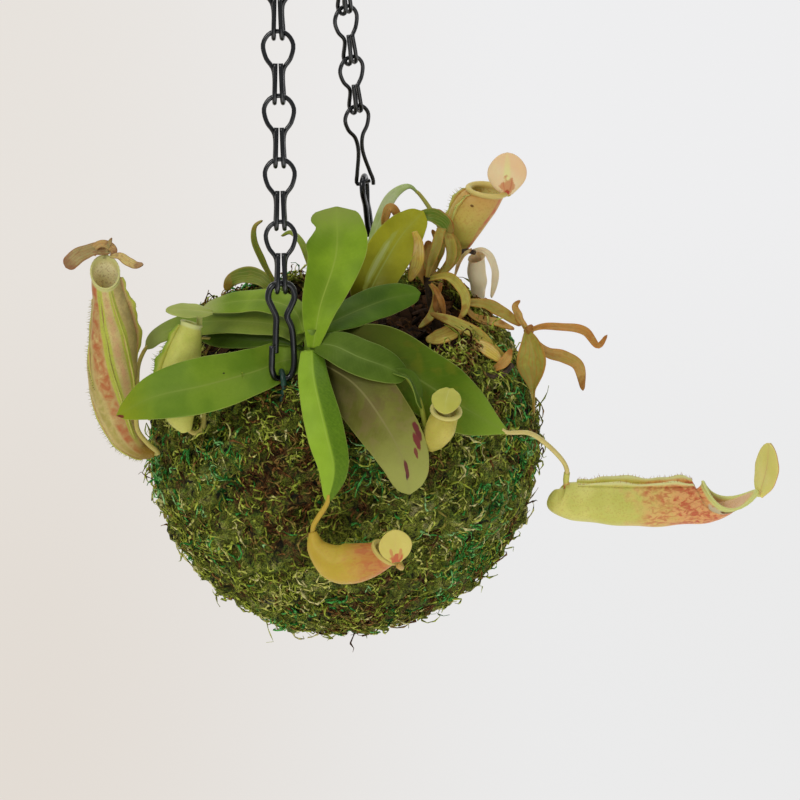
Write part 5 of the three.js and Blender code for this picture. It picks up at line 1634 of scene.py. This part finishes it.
LID_LOOKS = {
    "pitcher_front": leaf_look(
        "lid_amber", 0xE4D474, 0xD8C664, 0xDCC870, 0xE0C078, edge_share=0.3,
        spots=[
            ((0.06, 0), (0.2, 0.8), 0xD0704A, 1.0), ((0.3, 0.3), (0.16, 0.1), 0xD89A5C, 1.2),
            ((0.26, -0.3), (0.16, 0.1), 0xD89A5C, 1.2),
        ],
    ),
    "pitcher_small_right": leaf_look(
        "lid_pale", 0xCECA60, 0xBCB84E, 0xC8C66E, 0xC8B470, edge_share=0.7,
    ),
    "pitcher_right": leaf_look("lid_long", 0xF6EC92, 0xEAE07C, 0xE0B87C, 0xE0946C, edge_share=0.8),
    "pitcher_back": leaf_look(
        "lid_pink", 0xFFE4B4, 0xFFD2A0, 0xF4F4A0, 0xE8A888, rib_width=0.24,
        spots=[
            ((0.08, 0), (0.3, 0.5), 0xE0A070, 1.0), ((0.16, 0.22), (0.2, 0.05), 0xD88860, 0.9),
            ((0.16, -0.26), (0.2, 0.05), 0xD88860, 0.9), ((0.0, 0), (0.12, 0.3), 0xC04E3C, 0.4),
        ],
    ),
    "pitcher_small_left": leaf_look("lid_flat", 0xB2BA62, 0x9CA850, 0xBCC06C, 0xC8C880),
    "pitcher_left": withered_look(
        "lid_withered", ((0.0, 0xA89660), (0.45, 0xC8A464), (0.8, 0xDCC47A), (1.0, 0xE4CC80)),
        0x8A5A40, 0x94683C, spots=0.5,
    ),
}
dry = withered_look(
    "withered_leaf",
    (
        (0.0, 0x8A5A2A), (0.14, 0xC08A42), (0.3, 0xC4A458), (0.45, 0xA09C44), (0.62, 0xC0BA54),
        (0.8, 0xDCC256), (1.0, 0xE8D09A),
    ),
    0x9A5A20, 0xBC7E34,
)
shoot_green = withered_look(
    "shoot_leaf",
    ((0.0, 0x5E7A1E), (0.2, 0x6E7C20), (0.5, 0x849A30), (0.8, 0x9CA048), (1.0, 0xB08A3C)),
    0xA87A34, 0x9A9A48, spots=0.1, tip=0.6,
)
papery = withered_look(
    "dead_pitcher_paper", ((0.0, 0xFFECC0), (0.5, 0xFFEECC), (1.0, 0xFFE6B8)), 0xE0C490, 0xFFE8C0,
    spots=0.15, tip=0.2,
)
stem_look = plain_look("stem_green", 0x7E9A34, 0x5C7422, 0.5, Specular_IOR_Level=0.2)
dark_stem = plain_look("stem_dry", 0x4E3A22, 0x2A1C10, 0.7, size=3, depth=0.3, streaks=0x6E5230)
moss_ground = moss_look("moss_ground", ground=True)
moss_colour = moss_look("moss_strand")

# Pieces

make("hook", hook_shape(), wire, "hook", "top_hook")
make_chain(
    "front", FRONT_EYE, np.array([0, -SEAT_SPREAD, SEAT_RISE]) + HOOK_POINT, FRONT_TWISTS,
    FRONT_CLIP_TWIST, 0.0, wire,
)
make_chain(
    "back", BACK_EYE, np.array([0, SEAT_SPREAD, SEAT_RISE]) + HOOK_POINT, BACK_TWISTS,
    BACK_CLIP_TWIST, BACK_STRETCH, wire,
)
make("sling", sling_shape(), coated, "sling", "sling_wire")
make("soil", soil_shape(), soil_look, "soil", "soil_ball")
make("bark_chips", chips_shape(), bark_look(), "soil", smooth=False)
make("moss_base", moss_base(), moss_ground, "moss", "moss_wrap")
for at, strands in enumerate(strand_shapes()):
    make(f"moss_strands_{at + 1}", strands, moss_colour, "moss")

make("main_stem", stem_shape(MAIN_STEM, 2.1), stem_look, "stem", "stem_main")
make("rear_stem", stem_shape(BACK_STEM, 1.7), stem_look, "stem", "stem_back")
for leaf in LEAVES:
    name = leaf["name"]
    make(f"{name}_blade", leaf_shape(leaf), LEAF_LOOKS[leaf["look"]], leaf["slot"], name)
for at, pitcher in enumerate(PITCHERS):
    name = pitcher["name"]
    make_pitcher(pitcher, PITCHER_LOOKS[name], LID_LOOKS[name], at + 1)

make("side_shoot_leaves", small_leaves(SIDE_LEAVES, SIDE_TONES), dry, "withered", "side_shoot")
side_stems = tube(SIDE_STEM, 1.5, 14) + tube(DEAD_TWIG, 0.8, 10) + tube(CURLED_STEM, 0.9, 10)
make("side_shoot_stem", side_stems, dark_stem, "withered")
star = small_leaves(
    [[[STAR_CENTRE, *arm], *rest] for arm, *rest in STAR_ARMS], [0.3, 0.16, 0.48, 0.3],
)
heart = tube(STAR_HEART, [[0, 0.5], [0.5, 1.7], [1, 0.5]], 14)
make("star_leaves", star + heart, dry, "withered", "star_offshoot")
back = small_leaves(BACK_SHOOT_LEAVES, [0.2, 0.6, 0.5, 0.0], ripple=0.2)
make("back_shoot_leaves", back, shoot_green, "leaf", "back_shoot")
back_stems = joined([tube(stem, 1.1, 12) for stem in BACK_SHOOT_STEMS])
make("back_shoot_stem", back_stems, stem_look, "leaf")

wall = Wall(DEAD_PITCHER["rings"], DEAD_PITCHER["front"])
dead = cup_shape(wall, rows=50, sides=40, lip=0.3, dents=0.35, seed=9)
dead = dead + neck_shape(wall, DEAD_PITCHER)
dead = dead + blade(**{**LID, "ripple": 0.3, "columns": 13, **DEAD_PITCHER["lid"]})
make("dead_pitcher_shell", dead, papery, "dead_pitcher", "dead_pitcher")

# Camera, light and backdrop

DISTANCE = 600
LENS = 79.695
SENSOR = 36
# Where the middle of the picture is from the ball's centre.
MIDDLE_RIGHT = 19.49
MIDDLE_UP = 13.03


def placed_by_axes(thing, right, up, back, place):
    """Sets a camera or lamp at a place in metres, with its axes along the given ways."""
    columns = [right, up, back, place]
    rows = [[float(column[row]) for column in columns] for row in range(3)]
    thing.matrix_world = Matrix([*rows, [0, 0, 0, 1]])
    scene.collection.objects.link(thing)


camera = bpy.data.objects.new("camera", bpy.data.cameras.new("camera"))
camera.data.sensor_width = SENSOR
camera.data.lens = LENS
camera.data.clip_start = 0.05
eye = RIGHT * MIDDLE_RIGHT + TILTED_UP * MIDDLE_UP + VIEW_BACK * DISTANCE + BALL_CENTRE
placed_by_axes(camera, VIEW_RIGHT, VIEW_UP, VIEW_BACK, eye * MM)
scene.camera = camera
scene.view_settings.view_transform = "Standard"

LIT_POINT = np.array([0, 0, -0.36])
# Square lamps that look at that point: [name, place in metres, size, watts, tint].
LAMPS = [
    ["key", (-0.9, -1.1, 0.9), 0.8, 10, (1.0, 0.99, 0.97)],
    ["low", (0.3, -1.3, -0.9), 1.2, 5, (1.0, 1.0, 1.0)],
    ["top", (0.1, 0.3, 1.2), 1.0, 6, (1.0, 1.0, 1.0)],
]
for name, place, side, power, tint in LAMPS:
    light = bpy.data.lights.new(name, "AREA")
    light.shape = "SQUARE"
    light.size = side
    light.energy = power
    light.color = tint
    back = unit(np.array(place) - LIT_POINT)
    right = unit(np.cross(UP, back))
    placed_by_axes(bpy.data.objects.new(name, light), right, np.cross(back, right), back, place)

world = bpy.data.worlds.new("room")
world.use_nodes = True
sky = world.node_tree.nodes["Background"]
sky.inputs["Color"].default_value = (0.93, 0.95, 1.0, 1.0)
sky.inputs["Strength"].default_value = 0.34
scene.world = world

# The backdrop, in metres.
FLOOR_FRONT = -5.0
FLOOR = -2.6
WALL = 4.2
WALL_TOP = 3.5
BEND = 1.2
HALF_WIDTH = 6.0


def backdrop():
    """A wide floor that curves up into a wall, far from the plant."""
    profile = [(FLOOR_FRONT, FLOOR), (WALL - BEND, FLOOR)]
    for a in np.linspace(0, math.pi / 2, 13)[1:]:
        profile.append((WALL - BEND + BEND * math.sin(a), FLOOR + BEND - BEND * math.cos(a)))
    profile.append((WALL, WALL_TOP))
    points, faces = [], []
    for y, z in profile:
        points += [(-HALF_WIDTH, y, z), (HALF_WIDTH, y, z)]
    for at in range(len(profile) - 1):
        faces.append((2 * at, 2 * at + 1, 2 * at + 3, 2 * at + 2))
    mesh = bpy.data.meshes.new("backdrop")
    mesh.from_pydata(points, [], faces)
    mesh.polygons.foreach_set("use_smooth", np.full(len(faces), True))
    piece = bpy.data.objects.new("backdrop", mesh)
    scene.collection.objects.link(piece)
    look = Look("backdrop", 0.95)
    axis = look.nodes.new("ShaderNodeSeparateXYZ")
    look.links.new(look.place, axis.inputs["Vector"])
    cool = look.band(axis.outputs["X"], -1.1, 0.5)
    high = look.mix(cool, 0xE6E1DB, 0xEDEDEE)
    low = look.mix(cool, 0xE1DAD2, 0xE9E9E9)
    tint = look.mix(look.band(axis.outputs["Z"], -2.7, -1.4), low, high)
    look.put(look.shader.inputs["Base Color"], colour(0x000000))
    look.put(look.shader.inputs["Emission Color"], tint)
    look.shader.inputs["Emission Strength"].default_value = 1.0
    mesh.materials.append(look.material)


backdrop()
